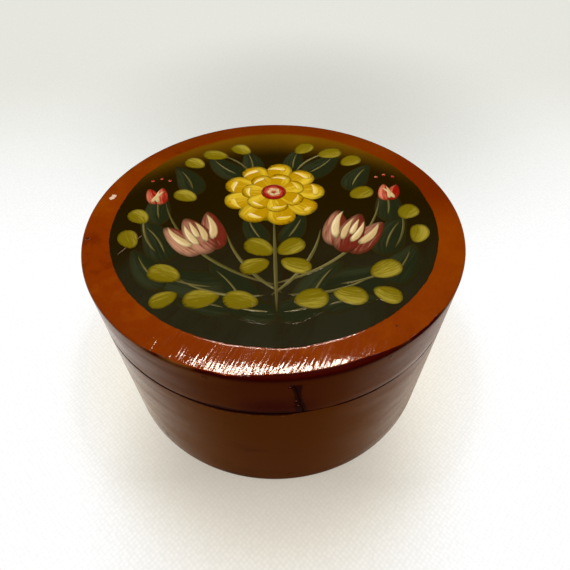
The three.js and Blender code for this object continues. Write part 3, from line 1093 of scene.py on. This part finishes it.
def material_wood(name, paints, size, spacing):
    """Bare wood, with its grain along the piece, handled and slightly dirty."""
    material, shader, place = new_material(name)
    wood = use_group(
        "Wood grain", vector=mapped(place, size=size), spacing=spacing,
        pale=paints.wood_pale, dark=paints.wood_dark,
    )
    dirt = step(clouds(place, 22.0, 4.0), 0.42, 0.75) * 0.45
    dots = use_group("Specks", vector=place, spacing=9 * MM, size=0.06, share=0.3)["Mask"] * 0.6
    tone = blend(dots, blend(dirt, wood["Colour"], paints.wood_dark), paints.side_dark)
    dress(shader, tone, 0.55 + wood["Height"] * 0.15, wood["Height"], 0.12 * MM)
    return material


def material_peg(name, sizes, paints, main):
    """End grain of a peg that was painted over with the hoop around it, and its bare shaft."""
    material, shader, place = new_material(name)
    tone, height = wall_paint(place, sizes, paints, main)
    pores = clouds(place, 2200.0)
    tone = blend(step(pores, 0.5, 0.7), tone, paints.peg)
    tone, dull = unpainted_inside(place, sizes, paints, tone)
    side_varnish(shader, place, sizes, paints)
    dress(shader, tone, 0.3 + dull * 0.35, height + pores, SIDE_RELIEF)
    return material


def material_iron(name, paints, main):
    """Iron of a tack, painted over with the hoop and rubbed bare only on the crown of its head."""
    material, shader, place = new_material(name)
    rust = clouds(place, 1500.0, 4.0, 0.65)
    bare = step(attribute(place.tree, "crown") + (rust - 0.5) * 0.9, 0.6, 0.95) * 0.7
    give(shader, {"IOR": PAINT_IOR, "Metallic": bare * 0.5})
    dress(shader, blend(bare, main, paints.iron), 0.5 - bare * 0.15, rust, 0.05 * MM)
    return material


def material_stroke(name, settings, base, light):
    """Artist's paint laid on with one stroke of a brush."""
    material, shader, place = new_material(name)
    drawn = take(place.tree, "ShaderNodeTexCoord", {}, "UV")
    stroke = use_group(
        "Brush streaks", vector=drawn, shade=attribute(place.tree, "shade"), base=base, light=light,
        under=settings.under,
    )
    give(shader, {"IOR": STROKE_IOR})
    dress(shader, stroke["Colour"], STROKE_ROUGHNESS, stroke["Height"], 0.06 * MM)
    return material


# Pieces


def hoop_outline(inner, outer, low, high, foot, rim, ease, top_ease):
    """Outline of a bent hoop, from its inner foot round the outside and back down the inside. The outer
    foot and rim are rounded, and a rounding of 0 leaves a corner. The inner corners are only eased.
    Points on the flat top beside the rounding hold its shading, where the top is wide enough for them."""
    points = [(inner, low + ease), (inner + ease, low)]
    points += ellipse_arc(outer - foot, low + foot, foot, foot, -90, 0) if foot else [(outer, low)]
    points += straight(outer, points[-1][1], high - rim)
    if rim:
        points += ellipse_arc(outer - rim, high - rim, rim, rim, 0, 90)
        flat = outer - inner - top_ease
        points += [(outer - share * rim, high) for share in (1.25, 1.8, 2.4) if share * rim < 0.9 * flat]
    else:
        points.append((outer, high))
    points.append((inner + top_ease, high))
    if top_ease:
        points.append((inner, high - top_ease))
    return points + straight(inner, high - top_ease, low + ease)


def hoop_faces(sizes):
    """Inner and outer radius of the wall and of the lid's side."""
    return sizes.outer_radius - sizes.hoop_wall, sizes.outer_radius - sizes.paint_room


def bore_hoop(hoop, pegs, tacks, sizes):
    """Drills the wall or the lid's side for its pegs, and sinks a seat for each tack's head."""
    inner, outer = hoop_faces(sizes)
    drill(hoop, pegs, sizes.peg_radius + sizes.peg_fit, inner - OVERCUT, outer + OVERCUT)
    drill(hoop, tacks, sizes.tack_radius, outer - sizes.tack_seat, outer + OVERCUT)
    smooth(hoop)


def bore_board(board, pegs, radius, sizes):
    """Drills the edge of a board for its pegs."""
    deep = sizes.outer_radius - sizes.peg_length - OVERCUT
    drill(board, pegs, sizes.peg_radius + sizes.peg_fit, deep, radius + 2 * OVERCUT)
    smooth(board)


class BOX_OT_wall(bpy.types.Operator):
    """Bend the wall: a lapped hoop with a worn foot, an uneven seam edge and holes for pegs and tacks"""

    bl_idname = "bentwood.wall"
    bl_label = "Wall"

    def execute(self, context):
        sizes, paints = context.scene.box_sizes, context.scene.box_paints
        inner, outer = hoop_faces(sizes)
        ease, top = sizes.edge_ease, sizes.body_top
        wall = turned("wall", hoop_outline(
            inner, outer, sizes.foot_lift, top, sizes.foot_ease, 0, ease, ease,
        ))
        ease_seam(wall, outer, top, sizes.seam_ease)
        waver(wall, sizes.waver)
        cut(wall, lap_cutter(BODY_LAP, inner, outer, -OVERCUT, top + OVERCUT, sizes, sizes.lap_length))
        bore_hoop(wall, "base_peg", "body_lap_tack", sizes)
        finish_piece(wall, "box", "side_paint", material_wall(sizes, paints), "body_hoop")
        return {"FINISHED"}


class BOX_OT_collar(bpy.types.Operator):
    """Bend the inner collar that guides the lid"""

    bl_idname = "bentwood.collar"
    bl_label = "Inner collar"

    def execute(self, context):
        sizes, paints = context.scene.box_sizes, context.scene.box_paints
        inner, outer = COLLAR_RADIUS - sizes.collar_wall, COLLAR_RADIUS
        low, high, ease = collar_low.z, collar_high.z, sizes.edge_ease
        outline = hoop_outline(inner, outer, low, high, ease, sizes.collar_ease, ease, ease)
        collar = turned("inner_collar_wood", outline)
        cut(collar, lap_cutter(
            COLLAR_LAP, inner, outer, low - OVERCUT, high + OVERCUT, sizes, sizes.collar_lap_length,
        ))
        drill(collar, "collar_tack", sizes.tack_radius, inner - OVERCUT, inner + sizes.tack_seat)
        smooth(collar)
        wood = material_wood("Collar wood", paints, (0.3, 0.3, 1.0), 2.2 * MM)
        finish_piece(collar, "box", "bare_wood", wood, "inner_collar")
        return {"FINISHED"}


class BOX_OT_base(bpy.types.Operator):
    """Turn the base board, chamfered below, with holes for its pegs"""

    bl_idname = "bentwood.base"
    bl_label = "Base board"

    def execute(self, context):
        sizes, paints = context.scene.box_sizes, context.scene.box_paints
        low, high, radius, edge = base_low.z, base_high.z, BASE_RADIUS, BASE_CHAMFER
        rings = [(share * radius, low) for share in (0.02, 0.2, 0.4, 0.6, 0.8)]
        rings += [(radius - edge, low), (radius - 0.4 * edge, low + 0.45 * edge), (radius, low + 1.2 * edge)]
        rings += [(radius, high - sizes.edge_ease), (radius - sizes.edge_ease, high)]
        rings += [(share * radius, high) for share in (0.8, 0.6, 0.4, 0.2, 0.02)]
        board = turned("base_board_wood", rings, closed=False)
        bore_board(board, "base_peg", radius, sizes)
        wood = material_wood("Base wood", paints, (1.0, 1.0, 0.3), 4.5 * MM)
        finish_piece(board, "box", "bare_wood", wood, "base_board")
        return {"FINISHED"}


class BOX_OT_rim(bpy.types.Operator):
    """Bend the lid's hoop: a worn round-over on top, and a leaning lap at the front"""

    bl_idname = "bentwood.rim"
    bl_label = "Lid hoop"

    def execute(self, context):
        sizes, paints = context.scene.box_sizes, context.scene.box_paints
        inner, outer = hoop_faces(sizes)
        low, high = sizes.seam_height, sizes.box_height
        rim = turned("lid_rim", hoop_outline(
            inner, outer, low, high - TOP_ROOM, 0, sizes.rim_round, sizes.edge_ease, 0,
        ))
        ease_seam(rim, outer, low, sizes.seam_ease)
        waver(rim, sizes.waver)
        cut(rim, lap_cutter(
            LID_LAP, inner, outer, low - OVERCUT, high - sizes.lap_start, sizes, sizes.lap_length,
        ))
        bore_hoop(rim, "lid_peg", "lid_lap_tack", sizes)
        side = material_rim("Lid side paint", sizes, paints, varnished=False)
        finish_piece(rim, "lid", "side_paint", side, "lid_hoop")
        rim.data.materials.append(material_rim("Rim paint", sizes, paints, varnished=True))
        self.varnish_top(rim, outer, sizes)
        return {"FINISHED"}

    def varnish_top(self, rim, outer, sizes):
        """Gives the flat top its varnish, up to the ragged line where the side's paint laps over."""
        beside_lap = around(RIM_SMEAR, outer).xy
        for face in rim.data.polygons:
            away = (face.center.xy - beside_lap).length
            near = min(1.0, max(0.0, (SMEAR_END - away) / (SMEAR_END - SMEAR_FULL)))
            line = sizes.rim_line + near * near * (3 - 2 * near) * (sizes.rim_smear - sizes.rim_line)
            line += 0.6 * MM * noise.noise(face.center / (6 * MM))
            flat = 0.95 if face.center.y < 0 else 0.999
            if face.normal.z > flat and face.center.xy.length < outer - line:
                face.material_index = 1


class BOX_OT_lid_board(bpy.types.Operator):
    """Turn the lid board, painted above and bare below, and dished a little inside its border"""

    bl_idname = "bentwood.lid_board"
    bl_label = "Lid board"

    def execute(self, context):
        sizes, paints = context.scene.box_sizes, context.scene.box_paints
        radius = hoop_faces(sizes)[0] - sizes.board_fit
        low, high = sizes.box_height - sizes.board_thickness, sizes.box_height - TOP_ROOM
        rings = [(share * radius, low) for share in (0.02, 0.25, 0.5, 0.75)]
        rings += [(radius - BOARD_CHAMFER, low), (radius, low + BOARD_CHAMFER)]
        rings += straight(radius, low + BOARD_CHAMFER, high) + [(radius, high)]
        for i in range(1, FALL_STEPS + 1):
            share = i / FALL_STEPS
            fall = share * share * (3 - 2 * share)
            rings.append((radius - share * BOARD_FALL, high - fall * sizes.board_dish))
        dish = high - sizes.board_dish
        rings += [(share * radius, dish) for share in (0.75, 0.6, 0.45, 0.3, 0.15, 0.02)]
        board = turned("lid_top", rings, closed=False)
        bore_board(board, "lid_peg", radius, sizes)
        finish_piece(board, "lid", "lid_paint", material_lid(sizes, paints), "lid_board")
        board.data.materials.append(material_wood("Lid wood", paints, (1.0, 1.0, 0.3), 4 * MM))
        for face in board.data.polygons:
            if face.center.z < high - PAINTED_EDGE:
                face.material_index = 1
        return {"FINISHED"}


class BOX_OT_pegs(bpy.types.Operator):
    """Whittle one peg and set a copy in each hole"""

    bl_idname = "bentwood.pegs"
    bl_label = "Pegs"

    def execute(self, context):
        sizes, paints = context.scene.box_sizes, context.scene.box_paints
        out = hoop_faces(sizes)[1] + PEG_PROUD
        step_in = 0.3 * sizes.peg_radius
        peg = rod(sizes.peg_radius, sizes.peg_length, (out - sizes.peg_length / 2, 0, 0))
        place_in_mesh(peg)
        mode("EDIT")
        bpy.ops.mesh.select_mode(type="FACE")
        select_end(peg, 1)
        bpy.ops.mesh.inset(thickness=step_in, depth=0.07 * MM)
        bpy.ops.mesh.inset(thickness=step_in, depth=0.03 * MM)
        select_end(peg, -1)
        bpy.ops.transform.resize(value=(1, 0.7, 0.7))
        bpy.ops.mesh.inset(thickness=step_in, depth=0.6 * MM)
        bpy.ops.mesh.select_mode(type="VERT")
        mode("OBJECT")
        smooth(peg)
        for body, start, name, paint in (
            ("box", "base_peg", "Wall peg paint", paints.side),
            ("lid", "lid_peg", "Lid peg paint", paints.side_red),
        ):
            wood = material_peg(name, sizes, paints, paint)
            set_copies(peg, body, start, "_whittled", "peg_wood", wood)
        bpy.data.objects.remove(peg)
        return {"FINISHED"}


class BOX_OT_tacks(bpy.types.Operator):
    """Forge one tack and drive a copy in at each lap"""

    bl_idname = "bentwood.tacks"
    bl_label = "Tacks"

    def execute(self, context):
        sizes, paints = context.scene.box_sizes, context.scene.box_paints
        outer, collar_inner = hoop_faces(sizes)[1], COLLAR_RADIUS - sizes.collar_wall
        side_iron = material_iron("Painted tack iron", paints, paints.lap_red)
        bare_iron = material_iron("Tack iron", paints, paints.wood_dark)
        for body, start, surface, depth, side, iron in (
            ("lid", "lid_lap_tack", outer, sizes.lap_tack, 1, side_iron),
            ("box", "body_lap_tack", outer, sizes.lap_tack, 1, side_iron),
            ("box", "collar_tack", collar_inner, sizes.collar_tack, -1, bare_iron),
        ):
            tack = self.forge(sizes, surface, depth, side)
            set_copies(tack, body, start, "_forged", "tack_iron", iron)
            bpy.data.objects.remove(tack)
        return {"FINISHED"}

    def forge(self, sizes, surface, depth, side):
        """One tack on the X axis, its head flush with a surface. Side 1 faces outwards, -1 inwards."""
        head = 0.92 * sizes.tack_radius
        start = surface - side * 0.4 * MM
        tack = rod(head, 0.35 * MM, (start, 0, 0), tilt=side * math.pi / 2, steps=TACK_STEPS)
        place_in_mesh(tack)
        mode("EDIT")
        bpy.ops.mesh.select_mode(type="FACE")
        for outward, rounds in ((1, ((0.3, 0.08), (0.3, 0.03))), (-1, ((0.55, 0.0),))):
            select_end(tack, side * outward)
            for thickness, rise in rounds:
                bpy.ops.mesh.inset(thickness=thickness * head, depth=rise * MM)
        extrude(-side * (depth - 1.2 * MM), 0, 0)
        extrude(-side * 0.8 * MM, 0, 0)
        bpy.ops.transform.resize(value=(1, 0.15, 0.15))
        bpy.ops.mesh.select_mode(type="VERT")
        mode("OBJECT")
        crown = tack.data.attributes.new("crown", "FLOAT", "POINT")
        for vertex in tack.data.vertices:
            spot = vertex.co
            if spot.yz.length < 0.45 * head and side * (spot.x - start) > 0:
                crown.data[vertex.index].value = 1.0
        smooth(tack)
        return tack


# How much each model stroke narrows towards its end
STROKE_TAPERS = {"dab": 0.0, "bract": 0.4, "petal": 0.7, "leaf": 0.95, "comma": 1.3, "stem": 0.6}


class Brush:
    """Lays strokes of paint on the lid and joins those of one colour into a piece."""

    def __init__(self, settings, level):
        self.settings = settings
        self.level = level
        self.random = random.Random(settings.seed)
        self.models = {name: self.model(taper) for name, taper in STROKE_TAPERS.items()}
        self.strokes = []

    def model(self, taper):
        """Makes one stroke a unit long and wide along X, domed like wet paint."""
        deselect()
        bpy.ops.mesh.primitive_circle_add(vertices=40, radius=0.5, fill_type="NGON", calc_uvs=True)
        stroke = bpy.context.object
        mode("EDIT")
        select_all()
        for thickness, rise in ((0.04, 0.5), (0.07, 0.3), (0.12, 0.2)):
            bpy.ops.mesh.inset(thickness=thickness, depth=rise * self.settings.dome)
        mode("OBJECT")
        if taper:
            modify(stroke, "SIMPLE_DEFORM", deform_method="TAPER", deform_axis="X", factor=-taper)
        return stroke

    def lay(self, name, x, y, turn, long, wide, layer, bend=0):
        """Lays one stroke: place and size as shares of the lid's radius, turn and bend in degrees."""
        jitter = self.random.uniform
        reach = self.settings.reach
        stroke = self.models[name].copy()
        stroke.data = self.models[name].data.copy()
        bpy.context.scene.collection.objects.link(stroke)
        height = self.level + layer * self.settings.layer + jitter(0, 0.15) * self.settings.layer
        size = (long * reach * jitter(0.95, 1.05), wide * reach * jitter(0.94, 1.06), 1.0)
        stroke.data.transform(Matrix.Diagonal((*size, 1.0)))
        if bend:
            angle = math.radians(bend + jitter(-4, 4))
            modify(stroke, "SIMPLE_DEFORM", deform_method="BEND", deform_axis="Z", angle=angle)
        stroke.data.transform(
            Matrix.Translation((x * reach, y * reach, height))
            @ Matrix.Rotation(math.radians(turn + jitter(-3, 3)), 4, "Z")
        )
        own = stroke.data.attributes.new("shade", "FLOAT", "FACE")
        own.data.foreach_set("value", [jitter(0.0, 1.0)] * len(stroke.data.polygons))
        self.strokes.append(stroke)

    def lay_pair(self, name, x, y, turn, long, wide, layer, bend=0):
        """Lays a stroke and its mirror image on the left."""
        self.lay(name, x, y, turn, long, wide, layer, bend)
        self.lay(name, -x, y, 180 - turn, long, wide, layer, -bend)

    def gather(self, name, label, base, light):
        """Joins the strokes laid since the last call into one piece, with a paint of its own."""
        piece = join(self.strokes)
        piece.name = name
        piece.data.name = name
        smooth(piece, 50)
        paint = material_stroke(label, self.settings, base, light)
        finish_piece(piece, "lid", "lid_paint", paint)
        self.strokes = []

    def put_away(self):
        """Removes the model strokes."""
        for stroke in self.models.values():
            bpy.data.objects.remove(stroke)


# Strokes on the right, which the left mirrors: place, turn, length, width and bend. Places and sizes are
# shares of the lid's radius, turns and bends are degrees, and a stroke narrows in the direction of its turn.
DARK_LEAVES = (
    (0.13, -0.64, 16, 0.30, 0.13, 26), (0.32, -0.60, 10, 0.28, 0.12, -30),
    (0.20, -0.50, 58, 0.42, 0.17, -34), (0.43, -0.47, 18, 0.42, 0.18, 34),
    (0.62, -0.38, 52, 0.34, 0.15, 30), (0.60, -0.16, 60, 0.36, 0.16, -36),
    (0.64, 0.10, 84, 0.32, 0.14, 30), (0.50, 0.36, 62, 0.32, 0.14, -32),
    (0.30, 0.48, 46, 0.34, 0.15, 30), (0.13, 0.54, 80, 0.28, 0.12, -26),
    (0.11, -0.10, 66, 0.28, 0.12, 24),
)
STEMS = (
    (0.15, -0.36, 58, 0.52, 0.020, 42), (0.38, -0.26, 44, 0.96, 0.017, 64),
    (0.27, -0.54, 14, 0.46, 0.016, 46), (0.24, 0.56, 40, 0.36, 0.014, -52),
    (0.68, -0.10, 76, 0.36, 0.013, 44),
)
LIME_LEAVES = (
    (0.08, -0.24, 214, 0.15, 0.09, 20), (0.10, -0.37, 160, 0.14, 0.08, -24),
    (0.16, -0.585, 190, 0.15, 0.09, 26), (0.34, -0.57, 168, 0.15, 0.09, -24),
    (0.53, -0.41, 205, 0.15, 0.09, 22), (0.51, -0.57, 150, 0.12, 0.075, -22),
    (0.75, -0.16, 242, 0.14, 0.08, -24), (0.73, 0.02, 226, 0.13, 0.08, 22),
    (0.50, 0.20, 210, 0.14, 0.085, 20), (0.36, 0.62, 196, 0.14, 0.085, 24),
    (0.20, 0.68, 226, 0.13, 0.08, -20), (0.48, 0.53, 218, 0.13, 0.08, 22),
    (0.07, 0.02, 232, 0.12, 0.07, -24),
)

# The rosette's two rings of petals: count, distance from the middle, first angle, length, width, layer
ROSETTE_MIDDLE = (0.0, 0.22)
ROSETTE_RINGS = ((9, 0.185, 0.0, 0.21, 0.15, 3), (7, 0.105, 20.0, 0.16, 0.12, 4.5))

# A tulip's place and lean, its petals: place across it, turn, length, width and layer, and the light
# commas on them: place across and along it, turn, length, width and bend
TULIP = (0.40, -0.14, 62)
TULIP_PETALS = ((-0.085, 16, 0.30, 0.13, 3), (0.085, -16, 0.30, 0.13, 3.2), (0.0, 0, 0.33, 0.15, 3.8))
TULIP_COMMAS = (
    (-0.10, 0.03, 14, 0.22, 0.040, -44), (0.10, 0.03, -14, 0.22, 0.040, 44),
    (-0.036, 0.02, 4, 0.19, 0.032, -30), (0.036, 0.02, -4, 0.19, 0.032, 30),
    (0.0, 0.05, 0, 0.14, 0.03, 0),
)

# A bud's place and lean
BUD = (0.66, 0.20, 76)


class BOX_OT_bouquet(bpy.types.Operator):
    """Paint the bouquet: a rosette over two tulips, with buds, leaves and dots, the same on both sides"""

    bl_idname = "bentwood.bouquet"
    bl_label = "Bouquet"

    def execute(self, context):
        sizes, settings = context.scene.box_sizes, context.scene.box_bouquet
        brush = Brush(settings, sizes.box_height - TOP_ROOM - sizes.board_dish)
        self.leaves(brush, settings)
        self.rosette(brush, settings)
        self.tulips(brush, settings)
        self.buds(brush, settings)
        brush.put_away()
        return {"FINISHED"}

    def leaves(self, brush, paints):
        """Large leaves in the shade with their veins, stems over them, and small lime leaves."""
        for i, (x, y, turn, long, wide, bend) in enumerate(DARK_LEAVES):
            brush.lay_pair("leaf", x, y, turn, long, wide, 0.1 * i, bend)
        brush.gather("leaves_dark", "Leaf green", paints.leaf, paints.leaf_light)
        for x, y, turn, long, _, bend in DARK_LEAVES:
            brush.lay_pair("stem", x, y, turn, 0.66 * long, 0.011, 1.5, 0.8 * bend)
        brush.lay("stem", 0.0, -0.32, 90, 0.66, 0.020, 1.5)
        for x, y, turn, long, wide, bend in STEMS:
            brush.lay_pair("stem", x, y, turn, long, wide, 1.7, bend)
        brush.gather("stems", "Stem", paints.stem, paints.stem_light)
        for x, y, turn, long, wide, bend in LIME_LEAVES:
            brush.lay_pair("bract", x, y, turn, 1.12 * long, 1.28 * wide, 2.2, bend)
        brush.gather("leaves_lime", "Lime", paints.lime, paints.lime_light)

    def rosette(self, brush, paints):
        """Two rings of yellow petals with light commas on them, round a red heart."""
        middle = Vector((*ROSETTE_MIDDLE, 0.0))
        commas = []
        for count, away, start, long, wide, layer in ROSETTE_RINGS:
            for i in range(count):
                angle = start + 360 * i / count
                x, y, _ = middle + around(math.radians(angle), away)
                brush.lay("petal", x, y, angle + 180, long, wide, layer + 0.1 * i)
                x, y, _ = middle + around(math.radians(angle + 5), away + 0.27 * long)
                commas.append(("comma", x, y, angle + 100, 0.8 * wide, 0.2 * wide, layer + 1, 70))
        brush.gather("rosette_petals", "Yellow", paints.yellow, paints.yellow_light)
        for comma in commas:
            brush.lay(*comma)
        brush.gather("rosette_commas", "Light yellow", paints.yellow_light, paints.cream_light)
        brush.lay("dab", *ROSETTE_MIDDLE, 0, 0.15, 0.14, 6.2)
        for i in range(6):
            x, y, _ = middle + around(math.radians(60 * i), 0.05)
            brush.lay("comma", x, y, 60 * i + 80, 0.1, 0.034, 6.8, 70)
        brush.gather("rosette_heart", "Red", paints.red, paints.red_light)

    def tulips(self, brush, paints):
        """Two tulips that lean outwards: broad petals in the shade with light commas over them."""
        x, y, lean = TULIP
        foot = Vector((x, y, 0.0))
        right, up = around(math.radians(lean - 90), 1.0), around(math.radians(lean), 1.0)
        for off, turn, long, wide, layer in TULIP_PETALS:
            x, y, _ = foot + off * right
            brush.lay_pair("petal", x, y, lean + turn, long, wide, layer)
        brush.gather("tulip_petals", "Mauve", paints.mauve, paints.mauve_light)
        for off, rise, turn, long, wide, bend in TULIP_COMMAS:
            x, y, _ = foot + off * right + rise * up
            brush.lay_pair("comma", x, y, lean + turn, long, wide, 5, bend)
        for i in range(5):
            x, y, _ = Vector((*ROSETTE_MIDDLE, 0.0)) + around(math.radians(90 + 72 * i), 0.022)
            brush.lay("comma", x, y, 72 * i, 0.05, 0.02, 7.2, 80)
        x, y, _ = BUD
        for turn in (30, -4):
            brush.lay_pair("comma", x, y, 90 + turn, 0.12, 0.022, 5, 40)
        brush.gather("cream_commas", "Cream", paints.cream, paints.cream_light)

    def buds(self, brush, paints):
        """A red bud and three dots at the end of each outer stem."""
        x, y, lean = BUD
        for off, turn in ((-0.025, 9), (0.025, -9)):
            brush.lay_pair("petal", x + off, y, lean + turn, 0.15, 0.075, 3 + off)
        for i in range(3):
            brush.lay_pair("dab", x + 0.05 * (i - 1), y + 0.15 + 0.02 * (i % 2), 0, 0.022, 0.022, 3)
        brush.gather("buds", "Bud red", paints.red, paints.red_light)


# Stage


def material_floor(studio):
    """Pale floor that keeps its light and shadow near the box, and fades into a white background that has
    painted shade about the box.
    """
    material, shader, place = new_material("Floor")
    tree = place.tree
    give(shader, {"Specular IOR Level": 0.0})
    dress(shader, studio.floor, 0.9, clouds(place, 700.0, 2.0), 0.05 * MM)
    across, along, _ = split(place)
    away = radius_of(place)
    # Painted shade on the background: warmer, darker whites at the foot of the box and before it, greyer
    # whites behind it, and a greyer patch there.
    glow = blend(step(away, 1.6 * OUTER_RADIUS, OUTER_RADIUS), studio.glow_side, studio.glow_near)
    warm = distance(place, (0.0, -studio.warm_place, 0.0))
    warm = step(warm, studio.warm_reach, 0.25 * studio.warm_reach)
    glow = blend(warm, glow, studio.glow_front)
    glow = blend(step(along, 0.05, 0.45), glow, studio.glow_back)
    dim = distance(place, (DIM_ASIDE, studio.dim_place, 0.0))
    dim = step(dim, studio.dim_reach, 0.12 * studio.dim_reach)
    glow = blend(dim, glow, studio.glow_dim)
    seen = add(tree, "ShaderNodeLightPath").outputs
    rays = [Signal(seen[f"Is {kind} Ray"]) for kind in ("Camera", "Glossy", "Transmission")]
    aside = step(abs(across + FLOOR_SHIFT), 0.35 * OUTER_RADIUS, 1.05 * OUTER_RADIUS) * 0.85
    reach = maths("MAXIMUM", aside, step(away, OUTER_RADIUS, 1.5 * OUTER_RADIUS))
    shown = studio.floor_share + reach * (1.0 - studio.floor_share)
    shown = maths("MINIMUM", rays[0] + rays[1] + rays[2], 1.0) * shown
    threads = take(tree, "ShaderNodeTexVoronoi", {
        "Vector": mapped(place, turn=math.radians(45)), "Scale": 1 / studio.thread, "Randomness": 0.35,
    }, "Distance")
    cloth = (1.0 - 0.3 * studio.weave) + step(threads, 0.7, 0.1) * studio.weave
    lit = take(tree, "ShaderNodeEmission", {"Color": glow, "Strength": cloth})
    mixed = take(tree, "ShaderNodeMixShader", {0: shown, 1: Signal(shader.outputs[0]), 2: lit})
    out = next(node for node in tree.nodes if node.type == "OUTPUT_MATERIAL")
    give(out, {"Surface": mixed})
    return material


def light_sky(studio):
    """A sky that is bright overhead and pale near the floor, less to the front, with a dark gap between."""
    world = bpy.data.worlds.new("Studio")
    bpy.context.scene.world = world
    world.use_nodes = True
    tree = world.node_tree
    tree.nodes.clear()
    _, along, rise = split(take(tree, "ShaderNodeTexCoord", {}, "Generated"))
    low, high, top = (
        step(rise, math.sin(math.radians(start)), math.sin(math.radians(end)))
        for start, end in (LOW_SKY, HIGH_SKY, TOP_SKY)
    )
    bright = low * step(along, -1.0, -0.45) * studio.horizon
    bright = bright + high * (studio.upper_sky + top * (studio.sky - studio.upper_sky))
    background = take(tree, "ShaderNodeBackground", {"Color": SKY_COLOUR, "Strength": bright})
    add(tree, "ShaderNodeOutputWorld", {"Surface": background})


class BOX_OT_stage(bpy.types.Operator):
    """Set up the pale floor, the lamps, the sky and the camera"""

    bl_idname = "bentwood.stage"
    bl_label = "Stage"

    def execute(self, context):
        studio = context.scene.box_studio
        self.floor(studio)
        light_sky(studio)
        place = (STRIP_ASIDE, studio.strip_back, studio.strip_height)
        strip = self.hang("strip", studio.strip_length, studio.strip_width, place, studio.strip_power)
        strip.data.color = studio.strip_colour[:3]
        for name, side in (("soft_left", -1), ("soft_right", 1)):
            place = (side * studio.soft_aside, -studio.soft_front, studio.soft_height)
            soft = self.hang(name, studio.soft_size, studio.soft_size, place, studio.soft_power)
            soft.rotation_euler = Vector(place).to_track_quat("Z", "Y").to_euler()
        camera = bpy.data.objects.new("camera", bpy.data.cameras.new("camera"))
        camera.data.lens = studio.lens
        camera.data.sensor_width = 36
        camera.data.clip_start = 0.01
        camera.location = (0, -studio.camera_back, studio.camera_height)
        camera.rotation_euler = (math.pi / 2 - studio.camera_tilt, 0, -studio.camera_turn)
        context.scene.collection.objects.link(camera)
        context.scene.camera = camera
        context.scene.view_settings.view_transform = "Standard"
        return {"FINISHED"}

    def hang(self, name, across, along, place, power):
        """Hangs a rectangular lamp that shines straight down."""
        data = bpy.data.lights.new(name, "AREA")
        data.shape = "RECTANGLE"
        data.size = across
        data.size_y = along
        data.energy = power
        lamp = bpy.data.objects.new(name, data)
        lamp.location = place
        bpy.context.scene.collection.objects.link(lamp)
        return lamp

    def floor(self, studio):
        """A round floor whose edge curves up, so that it fills the view from any side."""
        radius, bend = studio.floor_radius, studio.floor_bend
        deselect()
        bpy.ops.mesh.primitive_circle_add(vertices=96, radius=radius, fill_type="NGON")
        floor = bpy.context.object
        floor.name = "floor"
        mode("EDIT")
        select_all()
        bpy.ops.mesh.inset(thickness=radius * 0.6)
        select_all()
        bpy.ops.mesh.region_to_loop()
        points = [(radius, 0.0)]
        for i in range(1, COVE_STEPS + 1):
            angle = math.pi / 2 * i / COVE_STEPS
            points.append((radius + bend * math.sin(angle), bend * (1 - math.cos(angle))))
        draw_rings(points)
        extrude(0, 0, studio.cove_height - points[-1][1])
        mode("OBJECT")
        smooth(floor, 60)
        floor.data.materials.append(material_floor(studio))


class BOX_PT_build(bpy.types.Panel):
    """Lists the pieces of the box and the stage"""

    bl_idname = "BOX_PT_build"
    bl_label = "Bentwood box"
    bl_space_type = "VIEW_3D"
    bl_region_type = "UI"
    bl_category = "Bentwood box"

    def draw(self, context):
        for operator in STEPS:
            self.layout.operator(operator.bl_idname)
        for settings, group in SETTINGS.items():
            box = self.layout.box()
            for name in group.__annotations__:
                box.prop(getattr(context.scene, settings), name)


STEPS = (
    BOX_OT_wall, BOX_OT_collar, BOX_OT_base, BOX_OT_rim, BOX_OT_lid_board,
    BOX_OT_pegs, BOX_OT_tacks, BOX_OT_bouquet, BOX_OT_stage,
)
SETTINGS = {
    "box_sizes": BoxSizes, "box_paints": BoxPaints,
    "box_bouquet": BouquetSettings, "box_studio": StudioSettings,
}


def register():
    """Registers the settings, the operators and the panel."""
    for name, group in SETTINGS.items():
        bpy.utils.register_class(group)
        setattr(bpy.types.Scene, name, PointerProperty(type=group))
    for operator in STEPS:
        bpy.utils.register_class(operator)
    bpy.utils.register_class(BOX_PT_build)


def unregister():
    """Takes everything out again, in the opposite order."""
    bpy.utils.unregister_class(BOX_PT_build)
    for operator in reversed(STEPS):
        bpy.utils.unregister_class(operator)
    for name, group in reversed(SETTINGS.items()):
        delattr(bpy.types.Scene, name)
        bpy.utils.unregister_class(group)


def main():
    """Builds everything."""
    register()
    make_groups()
    for operator in STEPS:
        family, name = operator.bl_idname.split(".")
        getattr(getattr(bpy.ops, family), name)()
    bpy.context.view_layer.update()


if __name__ == "__main__":
    main()
